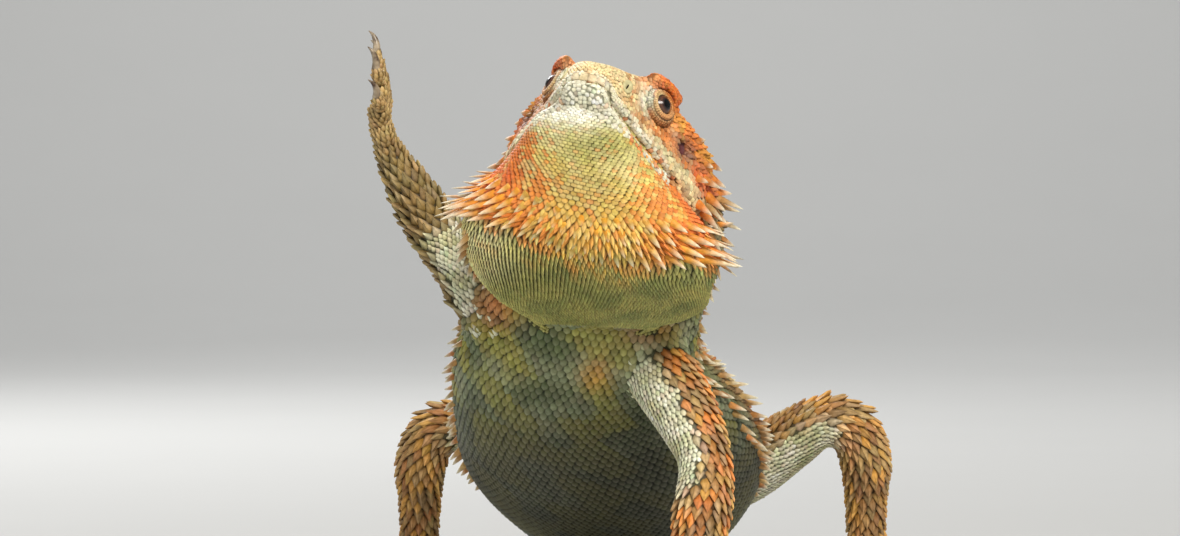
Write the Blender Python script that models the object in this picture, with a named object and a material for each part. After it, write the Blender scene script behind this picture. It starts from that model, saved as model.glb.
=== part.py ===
"""An adult bearded dragon, life size: it rears on its left forelimb with the right one raised.

Run it with blender --background --python part.py, or from Blender's text editor.
Lengths are in millimetres until MM turns them into Blender's metres. +X is the animal's left,
-Y is the way it faces and +Z is up. The floor under the belly, tail, left hand and hind feet is Z = 0.
"""

import math
import random

import bmesh
import bpy
import numpy as np
from mathutils import Matrix, Vector
from mathutils.bvhtree import BVHTree

MM = 0.001
GAP = 0.3
SEED = 7
SUNK = 1.3
LIP_RISE = 0.6
LIP_END = 36.0

# The head's own frame: X to its left, Y back from the front of the mouth line, Z up from that line.
MOUTH_FRONT = Vector((-0.6, -40.0, 128.0))
HEAD_PITCH = 33.5
HEAD_YAW = 14.4
HEAD_ROLL = 11.9

# Skull sections: back from the snout, half width at the lips, half width at the brow, depth of the
# lower jaw, height of the brow, height of the crown.
SKULL = (
    (-0.4, 2.2, 1.8, 1.4, 2.6, 3.0),
    (0.9, 4.8, 3.8, 3.0, 5.2, 5.8),
    (4.0, 7.2, 5.8, 4.4, 7.8, 8.4),
    (9.0, 9.6, 8.0, 5.8, 10.8, 11.2),
    (14.0, 11.8, 10.4, 6.8, 14.2, 13.8),
    (20.0, 15.0, 12.0, 7.6, 16.8, 16.2),
    (26.0, 18.4, 17.8, 8.4, 15.2, 17.0),
    (32.0, 21.8, 21.4, 9.2, 14.6, 17.0),
    (38.0, 24.2, 23.8, 9.8, 14.8, 16.4),
    (44.0, 24.6, 23.6, 9.2, 13.4, 15.0),
    (49.0, 20.5, 18.8, 7.0, 10.6, 12.4),
    (52.0, 12.0, 10.6, 3.6, 6.0, 7.6),
)

MOUTH_SLOPE = 0.03
MOUTH_DROP = 1.8
EYE_CENTRE = Vector((11.6, 19.5, 10.0))
EYE_AXIS = Vector((0.84, -0.53, 0.08)).normalized()
EYE_RADIUS = 3.8
LID_RADIUS = 4.9
LID_OPENING = 2.3
BROW = Vector((13.0, 17.8, 14.9))
BROW_RADIUS = 2.3
BROW_LENGTH = 7.8
NOSTRIL = Vector((6.6, 7.0, 4.5))
NOSTRIL_AXIS = Vector((0.80, -0.58, 0.10)).normalized()
EAR = Vector((19.6, 28.2, 6.2))
EAR_RADII = (2.0, 2.2, 2.6)

# Rows of spines round the back of the skull: place, first and last angle in degrees, lengths, count.
OCCIPITAL_ROWS = (
    (43.0, 80.0, -12.0, 2.4, 6.4, 8),
    (47.6, 36.0, -14.0, 5.0, 6.8, 5),
)

# The neck, torso and tail share one line of sections: centre, half width, rise above it, drop below it.
TRUNK = (
    (5.2, -8.0, 106.0, 24.5, 11.5, 12.0),
    (4.2, 4.0, 92.0, 28.0, 13.5, 15.0),
    (0.5, 18.0, 76.0, 27.0, 15.5, 19.5),
    (-2.5, 36.0, 60.0, 32.0, 16.5, 22.0),
    (3.5, 60.0, 44.0, 38.5, 16.5, 23.5),
    (9.0, 88.0, 31.0, 36.5, 15.0, 22.0),
    (13.0, 112.0, 24.0, 26.0, 13.0, 25.2),
    (15.5, 128.0, 20.5, 19.5, 12.0, 22.6),
    (17.0, 146.0, 16.5, 15.5, 11.0, 18.4),
    (18.0, 170.0, 13.0, 12.8, 10.0, 14.4),
    (16.0, 205.0, 10.0, 10.2, 8.4, 11.0),
    (8.0, 250.0, 7.2, 7.6, 6.6, 8.0),
    (-5.0, 295.0, 5.0, 5.4, 4.8, 5.6),
    (-20.0, 337.0, 3.2, 3.4, 3.2, 3.7),
    (-34.0, 374.0, 1.6, 1.3, 1.2, 1.9),
)
TRUNK_SIDE = (1, 0, 0)
NECK_SPAN = (0.0, 33.0)
TORSO_SPAN = (33.0, 174.0)
TAIL_SPANS = (("tail_base", 174.0, 250.0), ("tail_middle", 250.0, 330.0), ("tail_tip", 330.0, 424.0))

# The throat pouch in slices: centre, half width, front, back, tilt and turn of the slice in degrees.
POUCH = (
    (-1.2, -33.5, 123.0, 4.6, 3.0, 4.5, 12.0, 14.0),
    (-1.2, -30.0, 117.4, 12.0, 9.2, 9.0, 12.5, 14.0),
    (-0.2, -24.5, 110.0, 17.6, 13.8, 11.0, 13.0, 14.0),
    (1.4, -19.5, 102.2, 24.4, 17.2, 13.0, 13.0, 13.0),
    (0.8, -15.5, 95.6, 29.4, 18.4, 13.0, 13.0, 12.0),
    (0.0, -13.5, 90.4, 31.2, 18.8, 13.0, 13.0, 10.0),
    (-0.8, -11.5, 84.5, 30.2, 17.4, 13.0, 11.0, 7.0),
    (0.2, -9.0, 79.3, 28.0, 14.4, 12.0, 8.0, 4.0),
    (1.2, -5.5, 74.4, 22.6, 10.4, 11.0, 5.0, 0.0),
    (0.8, -1.5, 70.4, 13.0, 6.0, 8.0, 3.0, 0.0),
)

# Rows of spines along the pouch's fringe: height above its edge, size, count.
FRINGE_ROWS = ((0.0, 1.0, 21), (4.4, 0.8, 20), (8.8, 0.62, 17))
FRINGE_REACH = 104.0

# Limbs from root to knuckles: centre, half width, half thickness on the back and on the sole.
ARM_LEFT = (
    (11.0, 14.0, 69.0, 8.0, 8.0, 8.0),
    (18.0, 9.5, 57.5, 8.6, 8.6, 8.6),
    (24.5, 5.5, 46.0, 7.4, 7.4, 7.4),
    (27.4, 2.8, 37.5, 6.3, 6.3, 6.3),
    (26.9, 0.0, 27.0, 6.9, 6.9, 6.9),
    (25.4, -2.5, 16.0, 5.4, 5.2, 5.2),
    (24.8, -5.0, 8.6, 5.0, 4.0, 4.4),
    (25.0, -10.0, 3.8, 6.2, 3.2, 4.8),
    (25.6, -15.5, 2.2, 6.4, 2.4, 3.4),
)
ARM_RIGHT = (
    (-13.0, 23.0, 63.0, 8.0, 8.0, 8.0),
    (-20.5, 20.0, 68.5, 8.0, 8.0, 8.0),
    (-26.8, 21.0, 77.0, 7.2, 7.2, 7.2),
    (-32.2, 24.0, 86.0, 6.6, 6.6, 6.6),
    (-37.8, 26.5, 93.5, 6.5, 6.5, 6.5),
    (-43.8, 27.3, 103.0, 5.8, 5.6, 5.6),
    (-48.4, 28.0, 111.0, 4.4, 3.8, 3.8),
    (-51.0, 28.0, 117.6, 5.4, 2.9, 2.9),
    (-52.6, 28.0, 124.5, 5.6, 2.4, 2.4),
)
LEG_LEFT = (
    (25.0, 118.0, 23.0, 9.0, 9.5, 9.5),
    (41.0, 111.0, 30.5, 9.0, 10.0, 10.0),
    (53.0, 105.0, 38.5, 7.8, 8.2, 8.2),
    (61.5, 101.2, 43.8, 6.6, 6.2, 6.0),
    (68.6, 101.4, 42.6, 6.4, 5.8, 5.6),
    (72.8, 104.2, 34.5, 6.4, 6.4, 6.4),
    (73.5, 109.0, 23.0, 5.2, 5.2, 5.2),
    (74.0, 113.0, 12.0, 4.8, 4.8, 4.8),
    (77.0, 108.0, 4.8, 5.8, 3.4, 6.0),
    (81.5, 97.0, 2.4, 6.6, 2.6, 3.6),
)
LEG_RIGHT = (
    (3.0, 118.0, 23.0, 9.0, 9.5, 9.5),
    (-13.0, 113.5, 30.5, 9.0, 10.0, 10.0),
    (-25.0, 108.5, 37.5, 7.8, 8.2, 8.2),
    (-33.5, 104.7, 42.5, 6.6, 6.2, 6.0),
    (-40.6, 105.0, 41.2, 6.4, 5.8, 5.6),
    (-44.8, 108.2, 33.0, 6.4, 6.4, 6.4),
    (-45.5, 113.0, 22.0, 5.2, 5.2, 5.2),
    (-46.0, 117.0, 12.0, 4.8, 4.8, 4.8),
    (-49.0, 112.0, 4.8, 5.8, 3.4, 6.0),
    (-53.5, 101.0, 2.4, 6.6, 2.6, 3.6),
)

LIMBS = (ARM_LEFT, ARM_RIGHT, LEG_LEFT, LEG_RIGHT)

# Digits one to five: how far across the knuckles from the inner side, turn from straight ahead towards
# the outer side in degrees, length, half thickness.
HAND_DIGITS = (
    (-0.9, -42.0, 8.5, 1.9),
    (-0.5, -14.0, 14.0, 1.8),
    (0.0, 6.0, 18.0, 1.8),
    (0.5, 24.0, 18.0, 1.8),
    (0.9, 62.0, 12.0, 1.7),
)
FOOT_DIGITS = (
    (-0.9, -24.0, 9.0, 1.9),
    (-0.5, -8.0, 14.0, 1.9),
    (0.0, 6.0, 20.0, 1.9),
    (0.5, 20.0, 27.0, 1.9),
    (0.8, 70.0, 15.0, 1.8),
)
CLAW_LENGTH = 5.0

PARTS = bpy.data.collections.new("bearded_dragon")


def clear_scene():
    for obj in list(bpy.data.objects):
        bpy.data.objects.remove(obj)
    bpy.context.scene.collection.children.link(PARTS)


def material(name, colour, roughness):
    made = bpy.data.materials.new(name)
    made.use_nodes = True
    shader = made.node_tree.nodes["Principled BSDF"]
    shader.inputs["Base Color"].default_value = (*colour, 1.0)
    shader.inputs["Roughness"].default_value = roughness
    shader.inputs["Metallic"].default_value = 0.0
    made.diffuse_color = (*colour, 1.0)
    return made


def spline(rows):
    """A dense smooth line through rows of numbers whose first three are a place, and its lengths."""
    rows = np.array(rows, float)
    ends = np.vstack([2 * rows[0] - rows[1], rows, 2 * rows[-1] - rows[-2]])
    dense = []
    for i in range(len(rows) - 1):
        a, b, c, d = ends[i : i + 4]
        for t in np.linspace(0.0, 1.0, 24, endpoint=False):
            bend = (2 * a - 5 * b + 4 * c - d) * t * t + (3 * b - a - 3 * c + d) * t**3
            dense.append(0.5 * (2 * b + (c - a) * t + bend))
    dense.append(rows[-1])
    dense = np.array(dense)
    steps = np.linalg.norm(np.diff(dense[:, :3], axis=0), axis=1)
    return dense, np.concatenate([[0.0], np.cumsum(steps)])


def sections(rows, last_side, start, end, count):
    """Places along the smooth line: centre, side, way up and sizes, the side carried back from its end."""
    dense, length = spline(rows)
    along = np.gradient(dense[:, :3], length, axis=0)
    along /= np.linalg.norm(along, axis=1)[:, None]
    side = np.array(last_side, float)
    sides = np.zeros_like(along)
    for i in range(len(along) - 1, -1, -1):
        side = side - along[i] * side.dot(along[i])
        side /= np.linalg.norm(side)
        sides[i] = side
    table = np.hstack([dense, along, sides])
    made = []
    for at in np.linspace(start, min(end, length[-1]), count):
        row = [np.interp(at, length, column) for column in table.T]
        ahead, side = Vector(row[6:9]).normalized(), Vector(row[9:12]).normalized()
        made.append((Vector(row[:3]), side, side.cross(ahead).normalized(), row[3:6]))
    return made


def rings_along(rows, last_side, start, end, count, sides, grow=0.0):
    """Rings of as many points each round a smooth line, larger by the growth."""
    rings = []
    for centre, side, up, sizes in sections(rows, last_side, start, end, count):
        rings.append(ring(centre, side, up, *[size + grow for size in sizes], sides))
    return rings


def ring(centre, side, up, half_width, rise, drop, sides):
    points = []
    for k in range(sides):
        turn = 2 * math.pi * k / sides
        height = rise if math.sin(turn) > 0 else drop
        points.append(centre + side * half_width * math.cos(turn) + up * height * math.sin(turn))
    return points


def extended(rings, by):
    """The rings with the two end ones moved out along the line, as a swollen copy needs."""
    first, last = centre_of(rings[0]), centre_of(rings[-1])
    start = (first - centre_of(rings[1])).normalized() * by
    end = (last - centre_of(rings[-2])).normalized() * by
    out = [list(r) for r in rings]
    out[0] = [p + start for p in out[0]]
    out[-1] = [p + end for p in out[-1]]
    return out


def centre_of(points):
    return sum(points, Vector()) / len(points)


def loft(name, rings, floor=None):
    """A closed object through rings of as many points each, kept above the floor."""
    shape = bmesh.new()
    made = []
    for points in rings:
        if floor is not None:
            points = [Vector((p.x, p.y, max(p.z, floor))) for p in points]
        made.append([shape.verts.new(p * MM) for p in points])
    count = len(made[0])
    for a, b in zip(made, made[1:]):
        for k in range(count):
            shape.faces.new((a[k], a[(k + 1) % count], b[(k + 1) % count], b[k]))
    shape.faces.new(made[0])
    shape.faces.new(made[-1])
    bmesh.ops.recalc_face_normals(shape, faces=shape.faces)
    return as_object(name, shape)


def as_object(name, shape):
    mesh = bpy.data.meshes.new(name)
    shape.to_mesh(mesh)
    shape.free()
    obj = bpy.data.objects.new(name, mesh)
    PARTS.objects.link(obj)
    return obj


def cone(base, direction, length, radius, sides=5):
    """A tapered spine from a sunk base to a point."""
    shape = bmesh.new()
    bmesh.ops.create_cone(
        shape, cap_ends=True, cap_tris=True, segments=sides, radius1=radius * MM, radius2=0, depth=length * MM
    )
    turn = Vector((0, 0, 1)).rotation_difference(direction).to_matrix().to_4x4()
    place = Matrix.Translation((base + direction * length / 2) * MM) @ turn
    bmesh.ops.transform(shape, matrix=place, verts=shape.verts)
    return as_object("spine", shape)


def ball(centre, radii, turn=Matrix.Identity(3), u=12, v=8):
    shape = bmesh.new()
    bmesh.ops.create_uvsphere(shape, u_segments=u, v_segments=v, radius=1.0)
    place = Matrix.Translation(centre * MM) @ turn.to_4x4() @ Matrix.Diagonal((*[r * MM for r in radii], 1))
    bmesh.ops.transform(shape, matrix=place, verts=shape.verts)
    return as_object("ball", shape)


def rod(start, end, radius, sides=10):
    shape = bmesh.new()
    along = end - start
    bmesh.ops.create_cone(
        shape, cap_ends=True, segments=sides, radius1=radius * MM, radius2=radius * MM, depth=along.length * MM
    )
    turn = Vector((0, 0, 1)).rotation_difference(along).to_matrix().to_4x4()
    place = Matrix.Translation((start + end) / 2 * MM) @ turn
    bmesh.ops.transform(shape, matrix=place, verts=shape.verts)
    return as_object("rod", shape)


def combine(target, others, operation, solver="EXACT"):
    """Joins the others to the target or cuts them from it, then removes them."""
    group = bpy.data.collections.new("pieces")
    bpy.context.scene.collection.children.link(group)
    for other in others:
        PARTS.objects.unlink(other)
        group.objects.link(other)
    step = target.modifiers.new(operation.lower(), "BOOLEAN")
    step.operand_type = "COLLECTION"
    step.collection = group
    step.operation = operation
    step.solver = solver
    apply_modifiers(target)
    for other in others:
        bpy.data.objects.remove(other)
    bpy.data.collections.remove(group)
    return target


def apply_modifiers(obj):
    bpy.context.view_layer.update()
    graph = bpy.context.evaluated_depsgraph_get()
    mesh = bpy.data.meshes.new_from_object(obj.evaluated_get(graph))
    mesh.materials.clear()
    mesh.polygons.foreach_set("material_index", [0] * len(mesh.polygons))
    obj.modifiers.clear()
    obj.data = mesh


def keep_largest(obj):
    """Drops every closed surface of the object but its largest."""
    shape = bmesh.new()
    shape.from_mesh(obj.data)
    left = set(shape.verts)
    groups = []
    while left:
        found = {left.pop()}
        fresh = list(found)
        while fresh:
            vert = fresh.pop()
            near = {e.other_vert(vert) for e in vert.link_edges} - found
            found |= near
            fresh.extend(near)
        left -= found
        groups.append(found)
    biggest = max(groups, key=len)
    loose = [v for v in shape.verts if v not in biggest]
    bmesh.ops.delete(shape, geom=loose, context="VERTS")
    bmesh.ops.triangulate(shape, faces=shape.faces)
    shape.to_mesh(obj.data)
    shape.free()
    return obj


def halved(obj, point, normal):
    """Keeps the part of the object on the side that the normal points to, and caps the cut."""
    shape = bmesh.new()
    shape.from_mesh(obj.data)
    everything = shape.verts[:] + shape.edges[:] + shape.faces[:]
    cut = bmesh.ops.bisect_plane(
        shape, geom=everything, plane_co=point * MM, plane_no=normal, clear_inner=True
    )
    edges = [e for e in cut["geom_cut"] if isinstance(e, bmesh.types.BMEdge)]
    bmesh.ops.contextual_create(shape, geom=edges)
    bmesh.ops.recalc_face_normals(shape, faces=shape.faces)
    shape.to_mesh(obj.data)
    shape.free()
    return obj


def head_turn():
    yaw = Matrix.Rotation(math.radians(-HEAD_YAW), 3, "Z")
    pitch = Matrix.Rotation(math.radians(-HEAD_PITCH), 3, "X")
    roll = Matrix.Rotation(math.radians(HEAD_ROLL), 3, "Y")
    return roll @ yaw @ pitch


def in_head(x, y, z):
    """The place of a point of the head's own frame."""
    return MOUTH_FRONT + head_turn() @ Vector((x, y, z))


def skull_rings(grow=0.0):
    rings = []
    for back, lip, brow, jaw, brow_height, crown in spline(SKULL)[0][::12]:
        lip, brow, jaw = lip + grow, brow + grow, jaw + grow
        brow_height, crown = brow_height + grow, crown + grow
        rim = lip + LIP_RISE * min(max((LIP_END - back) / 8.0, 0.0), 1.0)
        half = (
            (0.0, -jaw),
            (0.45 * lip, -jaw),
            (0.80 * lip, -0.80 * jaw),
            (0.95 * lip, -0.42 * jaw),
            (rim, -0.30 * jaw),
            (rim, 0.11 * brow_height),
            (0.97 * lip + 0.03 * brow, 0.17 * brow_height),
            (0.60 * lip + 0.40 * brow, 0.45 * brow_height),
            (0.25 * lip + 0.75 * brow, 0.80 * brow_height),
            (0.86 * brow, brow_height),
            (0.45 * brow, crown),
            (0.0, crown),
        )
        other = [(-x, z) for x, z in half[-2:0:-1]]
        rings.append([in_head(x, back, z) for x, z in [*half, *other]])
    return rings


def slice_axes(tilt, turn):
    """The side and back axes of a slice of the pouch."""
    turned = Matrix.Rotation(math.radians(tilt), 3, "Y") @ Matrix.Rotation(math.radians(-turn), 3, "Z")
    return turned @ Vector((1, 0, 0)), turned @ Vector((0, 1, 0))


def pouch_rings():
    rings = []
    for x, y, z, half_width, front, back, tilt, turn in POUCH:
        side, behind = slice_axes(tilt, turn)
        rings.append(ring(Vector((x, y, z)), side, behind, half_width, back, front, 28))
    return rings


def swollen_skull():
    """The skull, then its spines, all larger by the gap."""
    plain = loft("plain", skull_rings())
    spines = head_spines(surface_tree(plain), GAP)
    bpy.data.objects.remove(plain)
    return [loft("swollen", extended(skull_rings(GAP), GAP)), *spines]


def swollen_trunk(start, end, count):
    rings = rings_along(TRUNK, TRUNK_SIDE, start, end, count, 24, GAP)
    return loft("swollen", extended(rings, GAP), floor=-GAP)


def surface_tree(obj):
    shape = bmesh.new()
    shape.from_mesh(obj.data)
    tree = BVHTree.FromBMesh(shape)
    shape.free()
    return tree


def rooted_spine(tree, inside, outward, lie, length, radius, grow=0.0):
    """A spine from where a ray leaves the surface, leaning from its normal towards its lie."""
    place, normal, _, _ = tree.ray_cast(inside * MM, outward.normalized())
    if place is None:
        return None
    direction = (normal + lie).normalized()
    sunk = SUNK + 4 * grow
    return cone(place / MM - direction * sunk, direction, length + sunk + 4 * grow, radius + 2 * grow)


def build_head(paint):
    turn = head_turn()
    head = loft("head", skull_rings())
    tree = surface_tree(head)
    halved(head, in_head(0, 0, GAP / 2 - MOUTH_DROP), turn @ Vector((0, MOUTH_SLOPE, 1)))
    added, cut = [], []
    for hand in (1, -1):
        mirror = Vector((hand, 1, 1))
        eye = in_head(*(EYE_CENTRE * mirror))
        axis = turn @ (EYE_AXIS * mirror)
        facing = Vector((0, 0, 1)).rotation_difference(axis).to_matrix()
        added.append(ball(eye - axis * 0.9, (LID_RADIUS + 0.5, LID_RADIUS + 0.5, LID_RADIUS), facing, 14, 9))
        brow = turn @ Vector((0.42 * hand, 1.0, 0.24))
        ridge = Vector((0, 0, 1)).rotation_difference(brow).to_matrix()
        added.append(ball(in_head(*(BROW * mirror)), (BROW_RADIUS, BROW_RADIUS, BROW_LENGTH), ridge, 9, 8))
        added.append(ball(in_head(*(NOSTRIL * mirror)), (2.1, 2.3, 2.1), turn, 10, 8))
        cut.append(ball(eye, (EYE_RADIUS + GAP,) * 3, facing))
        cut.append(rod(eye, eye + axis * 9.0, LID_OPENING))
        nostril = turn @ (NOSTRIL_AXIS * mirror)
        opening = in_head(*(NOSTRIL * mirror))
        cut.append(rod(opening + nostril * 1.2, opening + nostril * 4.0, 0.85, 8))
        cut.append(ball(in_head(*(EAR * mirror)), EAR_RADII, turn, 8, 6))
    added += head_spines(tree)
    combine(head, added, "UNION")
    combine(head, cut, "DIFFERENCE")
    painted(keep_largest(head), paint)
    for name, hand in (("eye_left", 1), ("eye_right", -1)):
        eye = ball(in_head(*(EYE_CENTRE * Vector((hand, 1, 1)))), (EYE_RADIUS,) * 3, u=16, v=10)
        eye.name = name
        eye.data.name = name
        eye.data.materials.append(material(name, (0.05, 0.03, 0.02), 0.08))
    return head


def head_spines(tree, grow=0.0):
    """Rows of conical scales across the back of the skull and behind the ears."""
    made = []
    turn = head_turn()
    back = turn @ Vector((0, 1, 0))
    for hand in (1, -1):
        for back_at, first, last, short, long, count in OCCIPITAL_ROWS:
            for k in range(count):
                share = k / (count - 1)
                angle = math.radians(first + (last - first) * share)
                outward = turn @ Vector((hand * math.cos(angle), 0, math.sin(angle)))
                inside = in_head(0, back_at - 2.0 * share, 1.0)
                length = short + (long - short) * share
                made.append(rooted_spine(tree, inside, outward, back * 0.45, length, 1.4, grow))
    return [m for m in made if m]


def build_jaw(paint):
    level = in_head(0, 0, -GAP / 2 - MOUTH_DROP)
    jaw = halved(loft("jaw", skull_rings()), level, head_turn() @ Vector((0, -MOUTH_SLOPE, -1)))
    skull, *spines = swollen_skull()
    bpy.data.objects.remove(skull)
    combine(jaw, spines, "DIFFERENCE")
    return painted(keep_largest(jaw), paint)


def build_beard(paint):
    beard = loft("beard", pouch_rings())
    tree = surface_tree(beard)
    combine(beard, beard_spines(tree), "UNION")
    plain = loft("plain", rings_along(TRUNK, TRUNK_SIDE, *NECK_SPAN, 7, 24))
    spines = neck_spines(surface_tree(plain), GAP)
    bpy.data.objects.remove(plain)
    combine(beard, [*swollen_skull(), *spines, swollen_trunk(0.0, 60.0, 12)], "DIFFERENCE")
    return painted(keep_largest(beard), paint)


def beard_spines(tree):
    """Rows of spines along the pouch's fringe, short in front and long at the sides."""
    made = []
    draw = random.Random(SEED)
    side_axis, behind = slice_axes(13.0, 10.0)
    upward = side_axis.cross(behind)
    for above, scale, count in FRINGE_ROWS:
        centre = Vector((0.0, -13.5, 92.0)) + upward * above
        for k in range(count):
            angle = math.radians(-FRINGE_REACH + 2 * FRINGE_REACH * (k + 0.5) / count)
            share = math.sin(angle) ** 2
            outward = side_axis * math.sin(angle) - behind * math.cos(angle)
            lie = side_axis * 0.9 * math.sin(angle) + behind * 0.2 - upward * (1.7 - 1.4 * share)
            length = (3.0 + 5.6 * share) * scale * draw.uniform(0.88, 1.12)
            made.append(rooted_spine(tree, centre, outward, lie, length, 1.25 + 0.35 * share))
    return [m for m in made if m]


def painted(obj, paint):
    obj.data.materials.clear()
    obj.data.materials.append(paint)
    return obj


def trunk_node(name, start, end, count, sides, paint):
    rings = rings_along(TRUNK, TRUNK_SIDE, start + GAP / 2, end - GAP / 2, count, sides)
    return painted(loft(name, rings, floor=0.0), paint)


def neck_spines(tree, grow=0.0):
    """Rows of spines down each side of the neck, long behind the ear and short at the shoulder."""
    made = []
    for hand in (1, -1):
        for row, (tilt, scale, count) in enumerate(((14.0, 0.8, 7), (-4.0, 1.0, 7), (-22.0, 0.85, 6))):
            for k in range(count):
                share = (k + 0.5 * (row % 2)) / count
                inside, side, up, sizes = sections(TRUNK, TRUNK_SIDE, 3.5 + 25.0 * share, 40.0, 1)[0]
                along = up.cross(side)
                level = math.radians(tilt)
                outward = side * hand * math.cos(level) + up * math.sin(level)
                length = (7.4 - 4.0 * share) * scale
                root = inside + outward * sizes[0]
                if min(distance_to(root, limb) for limb in LIMBS) < length + 2.5:
                    continue
                made.append(rooted_spine(tree, inside, outward, along * 0.45, length, 1.35, grow))
    return [m for m in made if m]


def flank_spines(tree):
    """Two rows of spines along each flank, from the armpit to the hip."""
    made = []
    draw = random.Random(SEED + 1)
    for hand in (1, -1):
        for row, (tilt, scale, count) in enumerate(((4.0, 1.0, 21), (-9.0, 0.75, 20))):
            for k in range(count):
                at = 40.0 + 100.0 * (k + 0.5 * row) / count
                inside, side, up, sizes = sections(TRUNK, TRUNK_SIDE, at, at + 1.0, 1)[0]
                along = up.cross(side)
                level = math.radians(tilt)
                outward = side * hand * math.cos(level) + up * math.sin(level)
                length = (3.2 + 1.8 * math.sin(math.pi * k / count)) * scale * draw.uniform(0.85, 1.15)
                root = inside + outward * sizes[0]
                if min(distance_to(root, limb) for limb in LIMBS) < length + 2.5:
                    continue
                made.append(rooted_spine(tree, inside, outward, along * 0.9, length, 1.15))
    return [m for m in made if m]


def distance_to(point, limb):
    """How far a point lies outside a limb's surface."""
    dense, _ = spline(limb)
    return min((point - Vector(row[:3])).length - max(row[3:6]) for row in dense)


def build_trunk(skin_paint, tail_paint):
    neck = trunk_node("neck", *NECK_SPAN, 7, 24, skin_paint)
    combine(neck, neck_spines(surface_tree(neck)), "UNION")
    combine(neck, swollen_skull(), "DIFFERENCE")
    painted(keep_largest(neck), skin_paint)
    torso = trunk_node("torso", *TORSO_SPAN, 20, 24, skin_paint)
    combine(torso, flank_spines(surface_tree(torso)), "UNION")
    painted(keep_largest(torso), skin_paint)
    for (name, start, end), sides in zip(TAIL_SPANS, (16, 14, 12)):
        trunk_node(name, start, end, 9, sides, tail_paint)


def limb_nodes(names, rows, cuts, digits, last_side, heading, down, outer, paint, floor):
    """The two lengths of a limb and its hand or foot, parted by thin gaps."""
    _, length = spline(rows)
    total = length[-1]
    spans = ((0.0, cuts[0] - GAP / 2), (cuts[0] + GAP / 2, cuts[1] - GAP / 2), (cuts[1] + GAP / 2, total))
    made = []
    for name, (start, end), count in zip(names, spans, (6, 6, 5)):
        node = loft(name, rings_along(rows, last_side, start, end, count, 12), floor=floor)
        made.append(painted(node, paint))
    knuckles = sections(rows, last_side, total - 4.0, total, 2)[0]
    fingers = digit_pieces(knuckles, digits, last_side, heading, down, outer, floor)
    combine(made[2], fingers, "UNION")
    painted(keep_largest(made[2]), paint)
    return made


def digit_pieces(knuckles, digits, side, heading, down, outer, floor):
    """Five tapered digits with curved claws, fanned out from the knuckles."""
    made = []
    side, heading, down = Vector(side), Vector(heading).normalized(), Vector(down).normalized()
    across = side * outer
    for place, turn, length, radius in digits:
        angle = math.radians(turn)
        ahead = heading * math.cos(angle) + across * math.sin(angle)
        base = knuckles[0] + across * place * (knuckles[3][0] - radius)
        arch = -down * 0.10 * length
        path = [
            base - ahead * 1.5,
            base + ahead * 0.35 * length + arch * 0.8,
            base + ahead * 0.75 * length + arch * 0.3,
            base + ahead * length + down * 0.3,
        ]
        made.append(digit_tube(path, (radius * 1.05, radius, radius * 0.92, radius * 0.62), ahead.cross(down), 7, floor))
        tip = path[-1]
        claw = [
            tip - ahead * 1.2,
            tip + ahead * 0.25 * CLAW_LENGTH - down * 0.30,
            tip + ahead * 0.70 * CLAW_LENGTH + down * 0.35,
            tip + ahead * 0.95 * CLAW_LENGTH + down * 1.5,
        ]
        made.append(digit_tube(claw, (0.95, 0.85, 0.55, 0.16), ahead.cross(down), 5, floor))
    return made


def digit_tube(path, radii, side, sides, floor):
    rows = [(*point, radius, radius, radius) for point, radius in zip(path, radii)]
    _, length = spline(rows)
    return loft("digit", rings_along(rows, side, 0.0, length[-1], 5, sides), floor=floor)


def build_limbs(paint):
    left = ("arm_left_upper", "arm_left_fore", "hand_left")
    right = ("arm_right_upper", "arm_right_fore", "hand_right")
    upper_left = limb_nodes(
        left, ARM_LEFT, (37.0, 66.0), HAND_DIGITS, (-1, 0, 0), (0.15, -1, 0), (0, 0, -1), -1, paint, 0.0
    )[0]
    upper_right = limb_nodes(
        right, ARM_RIGHT, (35.0, 62.0), HAND_DIGITS, (0, 1, 0), (-0.05, -0.05, 1), (-1, 0, 0), 1, paint, None
    )[0]
    left = ("thigh_left", "shank_left", "foot_left")
    right = ("thigh_right", "shank_right", "foot_right")
    thigh_left = limb_nodes(
        left, LEG_LEFT, (45.0, 83.0), FOOT_DIGITS, (-0.93, -0.36, 0), (0.36, -0.93, 0), (0, 0, -1), -1, paint, 0.0
    )[0]
    thigh_right = limb_nodes(
        right, LEG_RIGHT, (45.0, 80.0), FOOT_DIGITS, (-0.93, 0.36, 0), (-0.36, -0.93, 0), (0, 0, -1), 1, paint, 0.0
    )[0]
    for limb in (upper_left, upper_right, thigh_left, thigh_right):
        combine(limb, [swollen_trunk(0.0, 190.0, 24)], "DIFFERENCE")
        painted(keep_largest(limb), paint)


def centre_on_floor():
    """Moves the whole animal so that the origin is under the middle of its box."""
    corners = np.array([v.co for obj in PARTS.objects for v in obj.data.vertices])
    low, high = corners.min(axis=0), corners.max(axis=0)
    shift = Matrix.Translation((-(low[0] + high[0]) / 2, -(low[1] + high[1]) / 2, 0.0))
    for mesh in {obj.data for obj in PARTS.objects}:
        mesh.transform(shift)
    print("moved by", [round(v, 6) for v in shift.translation])


def main():
    clear_scene()
    orange = material("head_skin", (0.78, 0.42, 0.14), 0.55)
    throat = material("beard_skin", (0.80, 0.45, 0.12), 0.55)
    sandy = material("body_skin", (0.62, 0.58, 0.34), 0.6)
    tail = material("tail_skin", (0.60, 0.42, 0.22), 0.6)
    limb = material("limb_skin", (0.64, 0.50, 0.28), 0.6)
    build_head(orange)
    build_jaw(orange)
    build_beard(throat)
    build_trunk(sandy, tail)
    build_limbs(limb)
    centre_on_floor()


main()
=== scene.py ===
"""The bearded dragon's skin, scales, spines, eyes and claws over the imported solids, with a plain stage."""

import itertools
import math

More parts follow.
